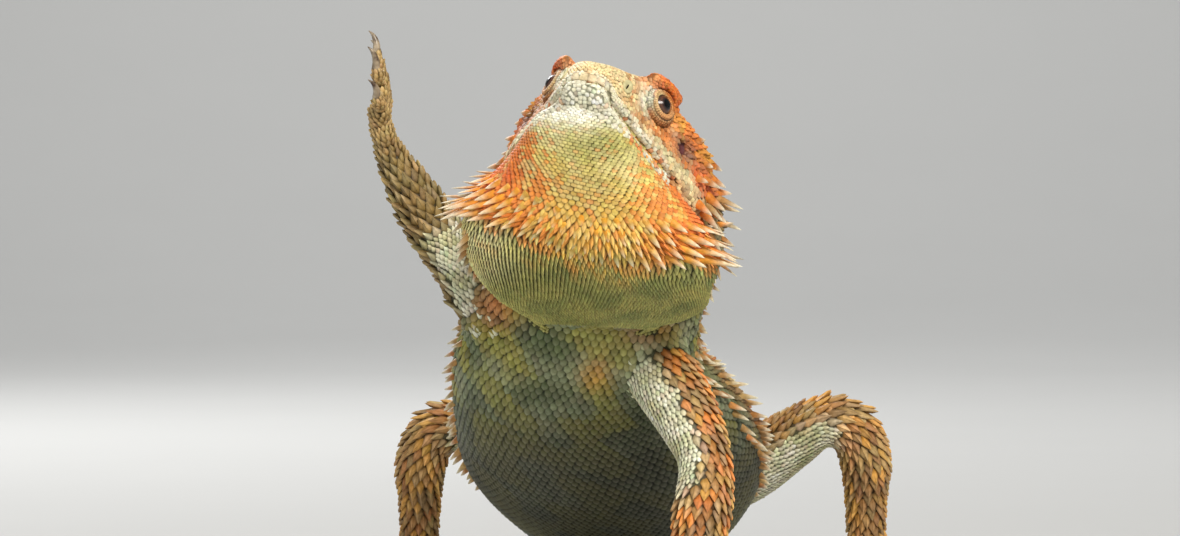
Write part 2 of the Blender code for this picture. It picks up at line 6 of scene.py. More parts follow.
import bmesh
import bpy
import numpy as np
from mathutils import Matrix, Vector
from mathutils.bvhtree import BVHTree
from mathutils.kdtree import KDTree


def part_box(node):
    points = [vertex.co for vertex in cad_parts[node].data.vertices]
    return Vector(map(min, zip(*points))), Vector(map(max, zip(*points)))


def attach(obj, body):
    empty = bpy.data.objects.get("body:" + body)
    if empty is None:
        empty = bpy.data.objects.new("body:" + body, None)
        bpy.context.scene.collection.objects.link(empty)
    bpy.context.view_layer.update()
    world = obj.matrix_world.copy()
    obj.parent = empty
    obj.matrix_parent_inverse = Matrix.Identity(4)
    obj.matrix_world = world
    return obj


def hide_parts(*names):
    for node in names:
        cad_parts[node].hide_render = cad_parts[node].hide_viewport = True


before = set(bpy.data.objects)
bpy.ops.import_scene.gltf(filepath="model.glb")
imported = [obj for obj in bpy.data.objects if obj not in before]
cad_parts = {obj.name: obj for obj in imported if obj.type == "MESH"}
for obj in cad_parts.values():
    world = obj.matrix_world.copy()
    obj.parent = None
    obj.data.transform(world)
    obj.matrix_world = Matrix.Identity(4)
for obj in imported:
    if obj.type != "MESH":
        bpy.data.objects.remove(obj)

bl_info = {
    "name": "Bearded Dragon",
    "version": (1, 0, 0),
    "blender": (4, 5, 0),
    "location": "3D View > Sidebar > Dragon",
    "description": "Dresses the packed bearded dragon in skin, scales, spines, eyes and claws",
    "category": "Object",
}

def unit(v):
    return v / np.maximum(np.linalg.norm(v, axis=-1, keepdims=True), 1e-9)


# Lengths below are in millimetres, in the frame that the solids were drawn in: X to the animal's
# left, Y to its back, Z up from the floor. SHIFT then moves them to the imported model's place.
MM = 0.001
MOUTH_FRONT = np.array([-0.6, -40.0, 128.0])
HEAD_PITCH = 33.5
HEAD_YAW = 14.4
HEAD_ROLL = 11.9
EYE_CENTRE = np.array([11.6, 19.5, 10.0])
EYE_AXIS = unit(np.array([0.84, -0.53, 0.08]))
EYE_RADIUS = 3.8
NOSTRIL = np.array([6.6, 7.0, 4.5])
NOSTRIL_AXIS = unit(np.array([0.80, -0.58, 0.10]))
EAR = np.array([19.9, 28.4, 6.4])
BROW = np.array([13.0, 17.8, 14.9])
BROW_AXIS = np.array([0.42, 1.0, 0.24])
BROW_RADIUS = 2.3
BROW_HALF = 7.8
MOUTH_CORNER = 30.0
SKULL_LENGTH = 52.0
# Half the width within which the mouth line and the skin's finer faces lie.
FACE_HALF_WIDTH = 26.0
# Left and right: a sign, and what mirrors a place in the head's frame to that side.
HANDS = ((1, np.array([1, 1, 1])), (-1, np.array([-1, 1, 1])))

# Skull sections: back from the snout, half width at the lips, half width at the brow, depth of the
# lower jaw, height of the brow, height of the crown.
SKULL = (
    (-0.4, 2.2, 1.8, 1.4, 2.6, 3.0), (0.9, 4.8, 3.8, 3.0, 5.2, 5.8), (4.0, 7.2, 5.8, 4.4, 7.8, 8.4),
    (9.0, 9.6, 8.0, 5.8, 10.8, 11.2), (14.0, 11.8, 10.4, 6.8, 14.2, 13.8),
    (20.0, 15.0, 12.0, 7.6, 16.8, 16.2), (26.0, 18.4, 17.8, 8.4, 15.2, 17.0),
    (32.0, 21.8, 21.4, 9.2, 14.6, 17.0), (38.0, 24.2, 23.8, 9.8, 14.8, 16.4),
    (44.0, 24.6, 23.6, 9.2, 13.4, 15.0), (49.0, 20.5, 18.8, 7.0, 10.6, 12.4),
    (52.0, 12.0, 10.6, 3.6, 6.0, 7.6),
)

# The neck, torso and tail: centre, half width, rise above it, drop below it.
TRUNK = (
    (5.2, -8.0, 106.0, 24.5, 11.5, 12.0), (4.2, 4.0, 92.0, 28.0, 13.5, 15.0),
    (0.5, 18.0, 76.0, 27.0, 15.5, 19.5), (-2.5, 36.0, 60.0, 32.0, 16.5, 22.0),
    (3.5, 60.0, 44.0, 38.5, 16.5, 23.5), (9.0, 88.0, 31.0, 36.5, 15.0, 22.0),
    (13.0, 112.0, 24.0, 26.0, 13.0, 25.2), (15.5, 128.0, 20.5, 19.5, 12.0, 22.6),
    (17.0, 146.0, 16.5, 15.5, 11.0, 18.4), (18.0, 170.0, 13.0, 12.8, 10.0, 14.4),
    (16.0, 205.0, 10.0, 10.2, 8.4, 11.0), (8.0, 250.0, 7.2, 7.6, 6.6, 8.0),
    (-5.0, 295.0, 5.0, 5.4, 4.8, 5.6), (-20.0, 337.0, 3.2, 3.4, 3.2, 3.7),
    (-34.0, 374.0, 1.6, 1.3, 1.2, 1.9),
)
TORSO_END = 174.0

# The throat pouch in slices: centre, half width, front, back, tilt and turn of the slice in degrees.
POUCH = (
    (-1.2, -33.5, 123.0, 4.6, 3.0, 4.5, 12.0, 14.0), (-1.2, -30.0, 117.4, 12.0, 9.2, 9.0, 12.5, 14.0),
    (-0.2, -24.5, 110.0, 17.6, 13.8, 11.0, 13.0, 14.0), (1.4, -19.5, 102.2, 24.4, 17.2, 13.0, 13.0, 13.0),
    (0.8, -15.5, 95.6, 29.4, 18.4, 13.0, 13.0, 12.0), (0.0, -13.5, 90.4, 31.2, 18.8, 13.0, 13.0, 10.0),
    (-0.8, -11.5, 84.5, 30.2, 17.4, 13.0, 11.0, 7.0), (0.2, -9.0, 79.3, 28.0, 14.4, 12.0, 8.0, 4.0),
    (1.2, -5.5, 74.4, 22.6, 10.4, 11.0, 5.0, 0.0), (0.8, -1.5, 70.4, 13.0, 6.0, 8.0, 3.0, 0.0),
)
# The line that the fringe of spines grows from, as height over place across.
FRINGE_X = (-31.0, -24.0, -14.0, -4.0, 4.0, 14.0, 24.0, 32.0)
FRINGE_Z = (99.5, 97.0, 93.9, 90.6, 89.2, 88.8, 88.3, 87.0)

# Limbs from root to knuckles: centre, half width, half thickness on the back and on the sole.
ARM_LEFT = (
    (11.0, 14.0, 69.0, 8.0, 8.0, 8.0), (18.0, 9.5, 57.5, 8.6, 8.6, 8.6), (24.5, 5.5, 46.0, 7.4, 7.4, 7.4),
    (27.4, 2.8, 37.5, 6.3, 6.3, 6.3), (26.9, 0.0, 27.0, 6.9, 6.9, 6.9), (25.4, -2.5, 16.0, 5.4, 5.2, 5.2),
    (24.8, -5.0, 8.6, 5.0, 4.0, 4.4), (25.0, -10.0, 3.8, 6.2, 3.2, 4.8), (25.6, -15.5, 2.2, 6.4, 2.4, 3.4),
)
ARM_RIGHT = (
    (-13.0, 23.0, 63.0, 8.0, 8.0, 8.0), (-20.5, 20.0, 68.5, 8.0, 8.0, 8.0),
    (-26.8, 21.0, 77.0, 7.2, 7.2, 7.2), (-32.2, 24.0, 86.0, 6.6, 6.6, 6.6),
    (-37.8, 26.5, 93.5, 6.5, 6.5, 6.5), (-43.8, 27.3, 103.0, 5.8, 5.6, 5.6),
    (-48.4, 28.0, 111.0, 4.4, 3.8, 3.8), (-51.0, 28.0, 117.6, 5.4, 2.9, 2.9),
    (-52.6, 28.0, 124.5, 5.6, 2.4, 2.4),
)
LEG_LEFT = (
    (25.0, 118.0, 23.0, 9.0, 9.5, 9.5), (41.0, 111.0, 30.5, 9.0, 10.0, 10.0),
    (53.0, 105.0, 38.5, 7.8, 8.2, 8.2), (61.5, 101.2, 43.8, 6.6, 6.2, 6.0),
    (68.6, 101.4, 42.6, 6.4, 5.8, 5.6), (72.8, 104.2, 34.5, 6.4, 6.4, 6.4),
    (73.5, 109.0, 23.0, 5.2, 5.2, 5.2), (74.0, 113.0, 12.0, 4.8, 4.8, 4.8),
    (77.0, 108.0, 4.8, 5.8, 3.4, 6.0), (81.5, 97.0, 2.4, 6.6, 2.6, 3.6),
)
LEG_RIGHT = (
    (3.0, 118.0, 23.0, 9.0, 9.5, 9.5), (-13.0, 113.5, 30.5, 9.0, 10.0, 10.0),
    (-25.0, 108.5, 37.5, 7.8, 8.2, 8.2), (-33.5, 104.7, 42.5, 6.6, 6.2, 6.0),
    (-40.6, 105.0, 41.2, 6.4, 5.8, 5.6), (-44.8, 108.2, 33.0, 6.4, 6.4, 6.4),
    (-45.5, 113.0, 22.0, 5.2, 5.2, 5.2), (-46.0, 117.0, 12.0, 4.8, 4.8, 4.8),
    (-49.0, 112.0, 4.8, 5.8, 3.4, 6.0), (-53.5, 101.0, 2.4, 6.6, 2.6, 3.6),
)
# Digits: place across the knuckles, turn towards the outer side in degrees, length, half thickness.
HAND_DIGITS = (
    (-0.9, -42.0, 8.5, 1.9), (-0.5, -14.0, 14.0, 1.8), (0.0, 6.0, 18.0, 1.8), (0.5, 24.0, 18.0, 1.8),
    (0.9, 62.0, 12.0, 1.7),
)
FOOT_DIGITS = (
    (-0.9, -24.0, 9.0, 1.9), (-0.5, -8.0, 14.0, 1.9), (0.0, 6.0, 20.0, 1.9), (0.5, 20.0, 27.0, 1.9),
    (0.8, 70.0, 15.0, 1.8),
)
CLAW_LENGTH = 5.0
# Each limb: sections, side at its end, heading, down, sign of the outer side, digits, where its
# small pale inner scales are centred round it and how far down it they reach.
LIMBS = {
    "arm_left": (ARM_LEFT, (-1, 0, 0), (0.15, -1, 0), (0, 0, -1), -1, HAND_DIGITS, 0.98, 0.50),
    "arm_right": (ARM_RIGHT, (0, 1, 0), (-0.05, -0.05, 1), (-1, 0, 0), 1, HAND_DIGITS, 0.40, 0.46),
    "leg_left": (LEG_LEFT, (-0.93, -0.36, 0), (0.36, -0.93, 0), (0, 0, -1), -1, FOOT_DIGITS, 0.98, 0.40),
    "leg_right": (LEG_RIGHT, (-0.93, 0.36, 0), (-0.36, -0.93, 0), (0, 0, -1), 1, FOOT_DIGITS, 0.52, 0.40),
}

# How far down each arm, as a share, its scales begin: above that the body's own cover its root.
BARE_ROOTS = {"arm_right": 0.14, "arm_left": 0.07}

# Lids, from the opening out: half width, half height, how far out from the eye's centre, reach.
LID_PROFILE = (
    (2.58, 2.22, 2.40, 0.0), (2.62, 2.26, 2.86, 0.0), (2.84, 2.48, 3.10, 0.1), (3.14, 2.78, 3.16, 0.25),
    (3.50, 3.14, 3.08, 0.42), (3.78, 3.44, 2.90, 0.56), (4.05, 3.74, 2.70, 0.70), (4.45, 4.15, 2.32, 0.85),
    (4.95, 4.70, 1.60, 1.0), (5.30, 5.05, 0.3, 1.0),
)
FOLD_AT = 0.66
# Nasal shield, from its rim in: width and height as shares, out, slide down, whether it is in the hole.
NOSTRIL_PROFILE = (
    (1.0, 1.0, -0.6, 0.0, 0), (1.04, 1.03, 0.12, 0.0, 0), (0.94, 0.95, 0.40, 0.0, 0),
    (0.74, 0.80, 0.44, 0.0, 0), (0.46, 0.62, 0.26, 0.05, 0), (0.17, 0.50, 0.18, 0.08, 0),
    (0.11, 0.44, 0.02, 0.10, 1), (0.09, 0.38, -0.9, 0.10, 1),
)
# Rows of beard spines: height above the fringe line, length as a share, how many.
BEARD_ROWS = ((-0.6, 0.92, 30), (1.7, 1.0, 30), (4.2, 0.84, 31), (7.0, 0.66, 31))
# Rows of spines on the head's back and sides: place back from the snout, first and last angle up from
# the side in degrees, first and last length, how many.
HEAD_SPINE_ROWS = (
    (30.0, 36.0, 30.0, 1.8, 1.8, 1), (33.5, 40.0, 26.0, 2.2, 2.6, 2), (37.0, 50.0, 6.0, 2.2, 3.4, 4),
    (40.3, 68.0, -4.0, 2.2, 4.8, 6), (43.4, 82.0, -14.0, 2.8, 6.4, 10), (46.8, 52.0, -18.0, 4.4, 7.2, 7),
)
# Rows of spines on neck and flanks: angle up from the side, length as a share, how many, first and last
# place along the trunk.
TRUNK_SPINE_ROWS = (
    (16.0, 0.75, 7, 4.0, 30.0), (2.0, 1.0, 8, 3.0, 31.0), (-12.0, 0.95, 7, 3.0, 29.0),
    (-25.0, 0.8, 6, 5.0, 26.0), (11.0, 0.60, 22, 34.0, 150.0), (3.0, 1.0, 32, 34.0, 156.0),
    (-6.0, 0.85, 28, 36.0, 150.0),
)

# Smooth lines: places from one given row to the next, and every how many a ring of the body is made.
SPLINE_STEPS = 24
RING_EVERY = 6
# Where the digits begin, back from the limb's end.
KNUCKLES_BACK = 4.0
# The skin's smoothing: rounds of evening, how hollow a crease is, how far it spreads, rounds on creases.
EVENING_ROUNDS = 16
CREASE_DEPTH = 0.055
CREASE_SPREAD = 5
ROUNDING_ROUNDS = 36
# The turn round a tube at which its rows of scales are staggered evenly: the front or the belly.
ROW_START = 0.75
# How close a scale may stand to an earlier one, as a share of its own room.
CROWDING = 0.72
# Side of the cells that the filling scales are sorted into.
CELL = 2.0
BRIGHTEST = 0.95
GRAIN = 2600.0

FLESH_NODES = [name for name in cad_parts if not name.startswith("eye_")]


def smooth(value, low, high):
    t = np.clip((np.asarray(value, float) - low) / (high - low), 0.0, 1.0)
    return t * t * (3.0 - 2.0 * t)


def head_axes():
    yaw = Matrix.Rotation(math.radians(-HEAD_YAW), 3, "Z")
    pitch = Matrix.Rotation(math.radians(-HEAD_PITCH), 3, "X")
    roll = Matrix.Rotation(math.radians(HEAD_ROLL), 3, "Y")
    return np.array(roll @ yaw @ pitch)


HEAD = head_axes()


def in_head(points):
    """Places given in the head's own frame: X to its left, Y back from the mouth, Z up."""
    return MOUTH_FRONT + np.asarray(points, float) @ HEAD.T


def to_head(points):
    return (np.asarray(points, float) - MOUTH_FRONT) @ HEAD


def packed_shift():
    low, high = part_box("eye_left")
    return np.array((low + high) / 2) / MM - in_head(EYE_CENTRE)


SHIFT = packed_shift()


def summed(steps):
    """The running total of the steps, from 0."""
    return np.concatenate([[0.0], np.cumsum(steps)])


def norms(rows):
    return np.linalg.norm(rows, axis=1)


def circle(count):
    return 2 * math.pi * np.arange(count) / count


def spline(rows):
    """A dense smooth line through rows of numbers whose first three are a place, and its lengths."""
    rows = np.array(rows, float)
    ends = np.vstack([2 * rows[0] - rows[1], rows, 2 * rows[-1] - rows[-2]])
    dense = []
    for i in range(len(rows) - 1):
        a, b, c, d = ends[i : i + 4]
        for t in np.linspace(0.0, 1.0, SPLINE_STEPS, endpoint=False):
            bend = (2 * a - 5 * b + 4 * c - d) * t * t + (3 * b - a - 3 * c + d) * t**3
            dense.append(0.5 * (2 * b + (c - a) * t + bend))
    dense = np.array([*dense, rows[-1]])
    return dense, summed(norms(np.diff(dense[:, :3], axis=0)))


def sections(rows, last_side, places):
    """Centre, side, way up and sizes at places along the line, the side carried back from its end."""
    dense, length = spline(rows)
    along = unit(np.gradient(dense[:, :3], length, axis=0))
    side = np.array(last_side, float)
    sides = np.zeros_like(along)
    for i in range(len(along) - 1, -1, -1):
        side = unit(side - along[i] * side.dot(along[i]))
        sides[i] = side
    table = np.hstack([dense, along, sides])
    at = np.stack([np.interp(places, length, column) for column in table.T], axis=1)
    ahead, side = unit(at[:, 6:9]), unit(at[:, 9:12])
    return at[:, :3], side, unit(np.cross(side, ahead)), at[:, 3:6]


def rings_of(rows, last_side, count, sides):
    """Rings of points round a smooth line, as an array of count by sides places."""
    places = np.linspace(0.0, spline(rows)[1][-1], count)
    centre, side, up, sizes = sections(rows, last_side, places)
    turn = circle(sides)
    height = np.where(np.sin(turn) > 0, sizes[:, 1:2], sizes[:, 2:3]) * np.sin(turn)
    across = sizes[:, 0:1] * np.cos(turn)
    return centre[:, None] + side[:, None] * across[..., None] + up[:, None] * height[..., None]


def skull_rings():
    rings = []
    for back, lip, brow, jaw, brow_height, crown in spline(SKULL)[0][::RING_EVERY]:
        half = (
            (0.0, -jaw), (0.45 * lip, -jaw), (0.80 * lip, -0.80 * jaw), (0.95 * lip, -0.42 * jaw),
            (1.02 * lip, -0.20 * jaw), (1.02 * lip, 0.11 * brow_height),
            (0.60 * lip + 0.40 * brow, 0.45 * brow_height), (0.25 * lip + 0.75 * brow, 0.80 * brow_height),
            (0.86 * brow, brow_height), (0.45 * brow, crown), (0.0, crown),
        )
        other = [(-x, z) for x, z in half[-2:0:-1]]
        rings.append(in_head([(x, back, z) for x, z in (*half, *other)]))
    return np.array(rings)


def slice_axes(tilt, turn):
    turned = Matrix.Rotation(math.radians(tilt), 3, "Y") @ Matrix.Rotation(math.radians(-turn), 3, "Z")
    return np.array(turned @ Vector((1, 0, 0))), np.array(turned @ Vector((0, 1, 0)))


def pouch_rings():
    turn = circle(40)
    rings = []
    for x, y, z, half_width, front, back, tilt, turned in spline(POUCH)[0][::RING_EVERY]:
        side, behind = slice_axes(tilt, turned)
        depth = np.where(np.sin(turn) > 0, back, front) * np.sin(turn)
        across = np.outer(np.cos(turn) * half_width, side)
        rings.append(np.array([x, y, z]) + across + np.outer(depth, behind))
    return np.array(rings)


def digit_paths(limb):
    """The line and thickness of each digit, then of its claw."""
    rows, last_side, heading, down, outer, digits = LIMBS[limb][:6]
    total = spline(rows)[1][-1]
    centre, _, _, sizes = sections(rows, last_side, [total - KNUCKLES_BACK])
    heading, down = unit(np.array(heading, float)), np.array(down, float)
    across = np.array(last_side, float) * outer
    made = []
    for place, turn, length, radius in digits:
        angle = math.radians(turn)
        ahead = heading * math.cos(angle) + across * math.sin(angle)
        base = centre[0] + across * place * (sizes[0][0] - radius)
        arch = -down * 0.10 * length
        path = [
            base - ahead * 1.5,
            base + ahead * 0.35 * length + arch * 0.8,
            base + ahead * 0.75 * length + arch * 0.3,
            base + ahead * length + down * 0.3,
        ]
        thick = (radius * 1.05, radius, radius * 0.92, radius * 0.62)
        tip = path[-1]
        claw = [
            tip - ahead * 1.2,
            tip + ahead * 0.25 * CLAW_LENGTH - down * 0.30,
            tip + ahead * 0.70 * CLAW_LENGTH + down * 0.35,
            tip + ahead * 0.95 * CLAW_LENGTH + down * 1.5,
        ]
        made.append((path, thick, claw, np.cross(ahead, down)))
    return made


def path_rows(path, thick):
    return [(*point, r, r, r) for point, r in zip(path, thick)]


# ---------------------------------------------------------------- meshes and objects


def eye_of(mirror):
    """The eye's centre and the way it looks, on the side that the mirror gives."""
    return in_head(EYE_CENTRE * mirror), HEAD @ (EYE_AXIS * mirror)


def ring_tube(shape, rings, first_cap=True, last_cap=True):
    """Adds a tube through the rings to the bmesh, from circles bridged one to the next."""
    before = None
    for points in rings:
        made = bmesh.ops.create_circle(shape, segments=len(points), radius=1.0)["verts"]
        for vert, point in zip(made, points):
            vert.co = point
        edges = list({e for v in made for e in v.link_edges if e.other_vert(v) in made})
        if before is not None:
            bmesh.ops.bridge_loops(shape, edges=before + edges)
        elif first_cap:
            bmesh.ops.contextual_create(shape, geom=edges)
        before = edges
    if last_cap:
        bmesh.ops.contextual_create(shape, geom=before)


def mesh_of(name, shape):
    mesh = bpy.data.meshes.new(name)
    shape.to_mesh(mesh)
    shape.free()
    return mesh


def linked(name, data):
    """A new object in the scene."""
    obj = bpy.data.objects.new(name, data)
    bpy.context.scene.collection.objects.link(obj)
    return obj


def as_object(name, shape):
    """The bmesh as an object at the origin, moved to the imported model's place."""
    bmesh.ops.scale(shape, vec=(MM,) * 3, verts=shape.verts)
    bmesh.ops.translate(shape, vec=SHIFT * MM, verts=shape.verts)
    return linked(name, mesh_of(name, shape))


def ball(shape, centre, radii, axis=(0, 0, 1), u=24, v=14):
    facing = Vector((0, 0, 1)).rotation_difference(Vector(axis)).to_matrix().to_4x4()
    place = Matrix.Translation(centre) @ facing @ Matrix.Diagonal((*radii, 1))
    made = bmesh.ops.create_uvsphere(shape, u_segments=u, v_segments=v, radius=1.0)
    bmesh.ops.transform(shape, matrix=place, verts=made["verts"])
    return made["verts"]


def smooth_shaded(obj, angle=None):
    mesh = obj.data
    mesh.polygons.foreach_set("use_smooth", [True] * len(mesh.polygons))
    if angle is not None:
        mesh.set_sharp_from_angle(angle=math.radians(angle))
    mesh.update()
    return obj


def dress(obj, material):
    obj.data.materials.clear()
    obj.data.materials.append(material)
    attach(obj, "root")
    return obj


def tint(red, green, blue):
    """A colour given as 0 to 255 on a screen, in the renderer's linear values."""
    c = np.array([red, green, blue], float) / 255.0
    return np.where(c <= 0.04045, c / 12.92, ((c + 0.055) / 1.055) ** 2.4)


# ---------------------------------------------------------------- the skin


class Skin:
    """The one skin: its surface for the scales to stand on, and the scales' roots as they are set."""

    tree = None
    roots = np.zeros((0, 3))
    looks = np.zeros((0, 3))
    along = np.zeros((0, 3))
    sizes = np.zeros((0,))
    uvs = np.zeros((0, 2))


def paint_points(mesh, colours):
    """Gives each point its colour, in the attribute that the scales' material shows."""
    marks = mesh.color_attributes.new("markings", "FLOAT_COLOR", "POINT")
    rgba = np.hstack([colours, np.ones((len(colours), 1))])
    marks.data.foreach_set("color", rgba.astype(np.float32).ravel())


def raw_skin():
    """The body's forms as tubes and balls, fused by voxels into one mesh."""
    shape = bmesh.new()
    ring_tube(shape, rings_of(TRUNK, (1, 0, 0), 90, 36))
    ring_tube(shape, skull_rings())
    ring_tube(shape, pouch_rings())
    for limb, (rows, last_side, *_) in LIMBS.items():
        ring_tube(shape, rings_of(rows, last_side, 34, 20))
        for path, thick, _, side in digit_paths(limb):
            ring_tube(shape, rings_of(path_rows(path, thick), side, 10, 12))
    for _, mirror in HANDS:
        eye, axis = eye_of(mirror)
        ball(shape, eye - axis * 0.9, (5.2, 5.2, 4.7), axis)
        brow = (BROW_RADIUS, BROW_RADIUS, BROW_HALF)
        ball(shape, in_head(BROW * mirror), brow, HEAD @ (BROW_AXIS * mirror))
        ball(shape, in_head(NOSTRIL * mirror), (2.1, 2.3, 2.1))
    for vert in shape.verts:
        vert.co.z = max(vert.co.z, 0.0)
    bmesh.ops.recalc_face_normals(shape, faces=shape.faces)
    obj = linked("raw", mesh_of("raw", shape))
    step = obj.modifiers.new("fuse", "REMESH")
    step.mode = "VOXEL"
    step.voxel_size = props().sizes.voxel / MM
    step.adaptivity = 0.0
    graph = bpy.context.evaluated_depsgraph_get()
    fused = bpy.data.meshes.new_from_object(obj.evaluated_get(graph))
    bpy.data.objects.remove(obj)
    return fused


def refined(mesh):
    """The fused skin with the head's faces split once more."""
    shape = bmesh.new()
    shape.from_mesh(mesh)
    near = []
    for edge in shape.edges:
        middle = to_head((edge.verts[0].co + edge.verts[1].co) / 2)
        if middle[1] < 40.0 and -9.0 < middle[2] < 20.0 and abs(middle[0]) < FACE_HALF_WIDTH:
            near.append(edge)
    bmesh.ops.subdivide_edges(shape, edges=near, cuts=1, use_grid_fill=True)
    bmesh.ops.triangulate(shape, faces=[f for f in shape.faces if len(f.verts) > 4])
    shape.to_mesh(mesh)
    shape.free()
    return mesh


def arrays_of(mesh):
    co = np.zeros(len(mesh.vertices) * 3)
    mesh.vertices.foreach_get("co", co)
    edges = np.zeros(len(mesh.edges) * 2, int)
    mesh.edges.foreach_get("vertices", edges)
    return co.reshape(-1, 3), edges.reshape(-1, 2)


def normals_of(mesh, co):
    mesh.vertices.foreach_set("co", co.ravel())
    mesh.update()
    normals = np.zeros(len(mesh.vertices) * 3)
    mesh.vertex_normals.foreach_get("vector", normals)
    return normals.reshape(-1, 3)


def neighbour_mean(co, edges, count):
    total = np.zeros_like(co)
    for k in range(co.shape[1]):
        total[:, k] += np.bincount(edges[:, 0], co[edges[:, 1], k], len(co))
        total[:, k] += np.bincount(edges[:, 1], co[edges[:, 0], k], len(co))
    return total / count[:, None]


def rounded(mesh):
    """Evens the voxels' steps without thinning the digits, then rounds the creases between the forms."""
    co, edges = arrays_of(mesh)
    count = np.maximum(np.bincount(edges.ravel(), minlength=len(co)), 1)
    for step in range(EVENING_ROUNDS):
        move = neighbour_mean(co, edges, count) - co
        co += move * (0.5 if step % 2 == 0 else -0.52)
    hollow = ((neighbour_mean(co, edges, count) - co) * normals_of(mesh, co)).sum(axis=1)
    mask = (hollow > CREASE_DEPTH).astype(float)[:, None]
    for _ in range(CREASE_SPREAD):
        mask = np.maximum(mask, neighbour_mean(mask, edges, count) * 1.15)
    mask = np.clip(mask, 0.0, 1.0)
    in_fold = smooth(co[:, 1], 12.0, 2.0) * smooth(co[:, 2], 62.0, 68.0) * smooth(co[:, 2], 92.0, 84.0)
    mask *= (1.0 - 0.75 * in_fold)[:, None]
    head = to_head(co)
    mask *= (1.0 - 0.6 * smooth(head[:, 1], 34.0, 28.0) * smooth(head[:, 2], -5.5, -3.5))[:, None]
    chin = smooth(norms(head - (0.0, 6.0, -8.0)), 13.0, 7.0) * smooth(head[:, 2], -3.2, -5.0)
    mask = np.maximum(mask, 0.9 * chin[:, None])
    for _ in range(ROUNDING_ROUNDS):
        co += (neighbour_mean(co, edges, count) - co) * 0.6 * mask
    return co


def mouth_line(back):
    """How far below the lips' plane the mouth line runs."""
    return -0.35 - 2.15 * smooth(back, 0.2, 4.6) - 0.008 * np.maximum(back, 0.0)


def detailed(mesh, co):
    """Sinks the skin under the coat and carves the mouth line, sockets, nostrils and ears."""
    normals = normals_of(mesh, co)
    depth = np.full(len(co), props().sizes.coat_depth / MM)
    for limb in LIMBS:
        for path, _, _, _ in digit_paths(limb):
            for point in path[1:]:
                depth = np.minimum(depth, 0.22 + 0.06 * norms(co - point))
    head = to_head(co)
    from_line = head[:, 2] - mouth_line(head[:, 1])
    groove = np.exp(-((from_line / 0.55) ** 2)) * (np.abs(head[:, 0]) < FACE_HALF_WIDTH)
    groove *= smooth(head[:, 1], MOUTH_CORNER + 3.0, MOUTH_CORNER - 2.0)
    groove *= (head[:, 2] > -8.0) & (head[:, 1] > -3.0)
    depth += 1.1 * groove
    lips = np.exp(-(((np.abs(from_line) - 1.3) / 0.8) ** 2)) * (head[:, 1] > -3.0)
    depth -= 0.25 * lips * smooth(head[:, 1], MOUTH_CORNER, MOUTH_CORNER - 6.0)
    co = co - normals * depth[:, None]
    for hand, mirror in HANDS:
        eye, axis = eye_of(mirror)
        height = (co - eye) @ axis
        off = norms(co - eye - height[:, None] * axis)
        co -= axis * (6.5 * (1.0 - smooth(off, 2.6, 4.2)) * (height > 0.0))[:, None]
        far = norms((to_head(co) - EAR * mirror) / (6.0, 2.1, 2.6))
        inward = HEAD @ np.array([-hand, 0.0, 0.0])
        co += inward * (1.4 * (1.0 - smooth(far, 0.45, 1.15)))[:, None]
        nostril = HEAD @ (NOSTRIL_AXIS * mirror)
        near = norms(co - in_head(NOSTRIL * mirror) - nostril * 2.2)
        co -= nostril * (1.6 * (1.0 - smooth(near, 0.5, 1.3)))[:, None]
    folds = np.sin(co @ unit(np.array([0.1, 0.55, -0.8])) * 1.35 + 0.5 * np.sin(co[:, 0] * 0.4))
    on_neck = smooth(co[:, 1], -8.0, 0.0) * smooth(co[:, 1], 34.0, 20.0) * smooth(co[:, 2], 60.0, 70.0)
    co += normals * (0.35 * folds * on_neck * smooth(np.abs(co[:, 0]), 12.0, 22.0))[:, None]
    co[:, 2] = np.maximum(co[:, 2], 0.25)
    return co


def build_skin():
    mesh = refined(raw_skin())
    normals_of(mesh, detailed(mesh, rounded(mesh)))
    shape = bmesh.new()
    shape.from_mesh(mesh)
    bmesh.ops.recalc_face_normals(shape, faces=shape.faces)
    Skin.tree = BVHTree.FromBMesh(shape)
    bpy.data.meshes.remove(mesh)
    return smooth_shaded(as_object("skin", shape))


# ---------------------------------------------------------------- placing scales


def patchy(points, size, seed):
    """Smooth blotches between 0 and 1 over places, of about the size given."""
    draw = np.random.default_rng(seed)
    total = np.zeros(len(points))
    for _ in range(7):
        way = draw.normal(size=3)
        wave = unit(way) * draw.uniform(0.7, 1.6) * 2 * math.pi / size
        total += np.sin(points @ wave + draw.uniform(0, 7))
    return 1.0 / (1.0 + np.exp(-1.1 * total))


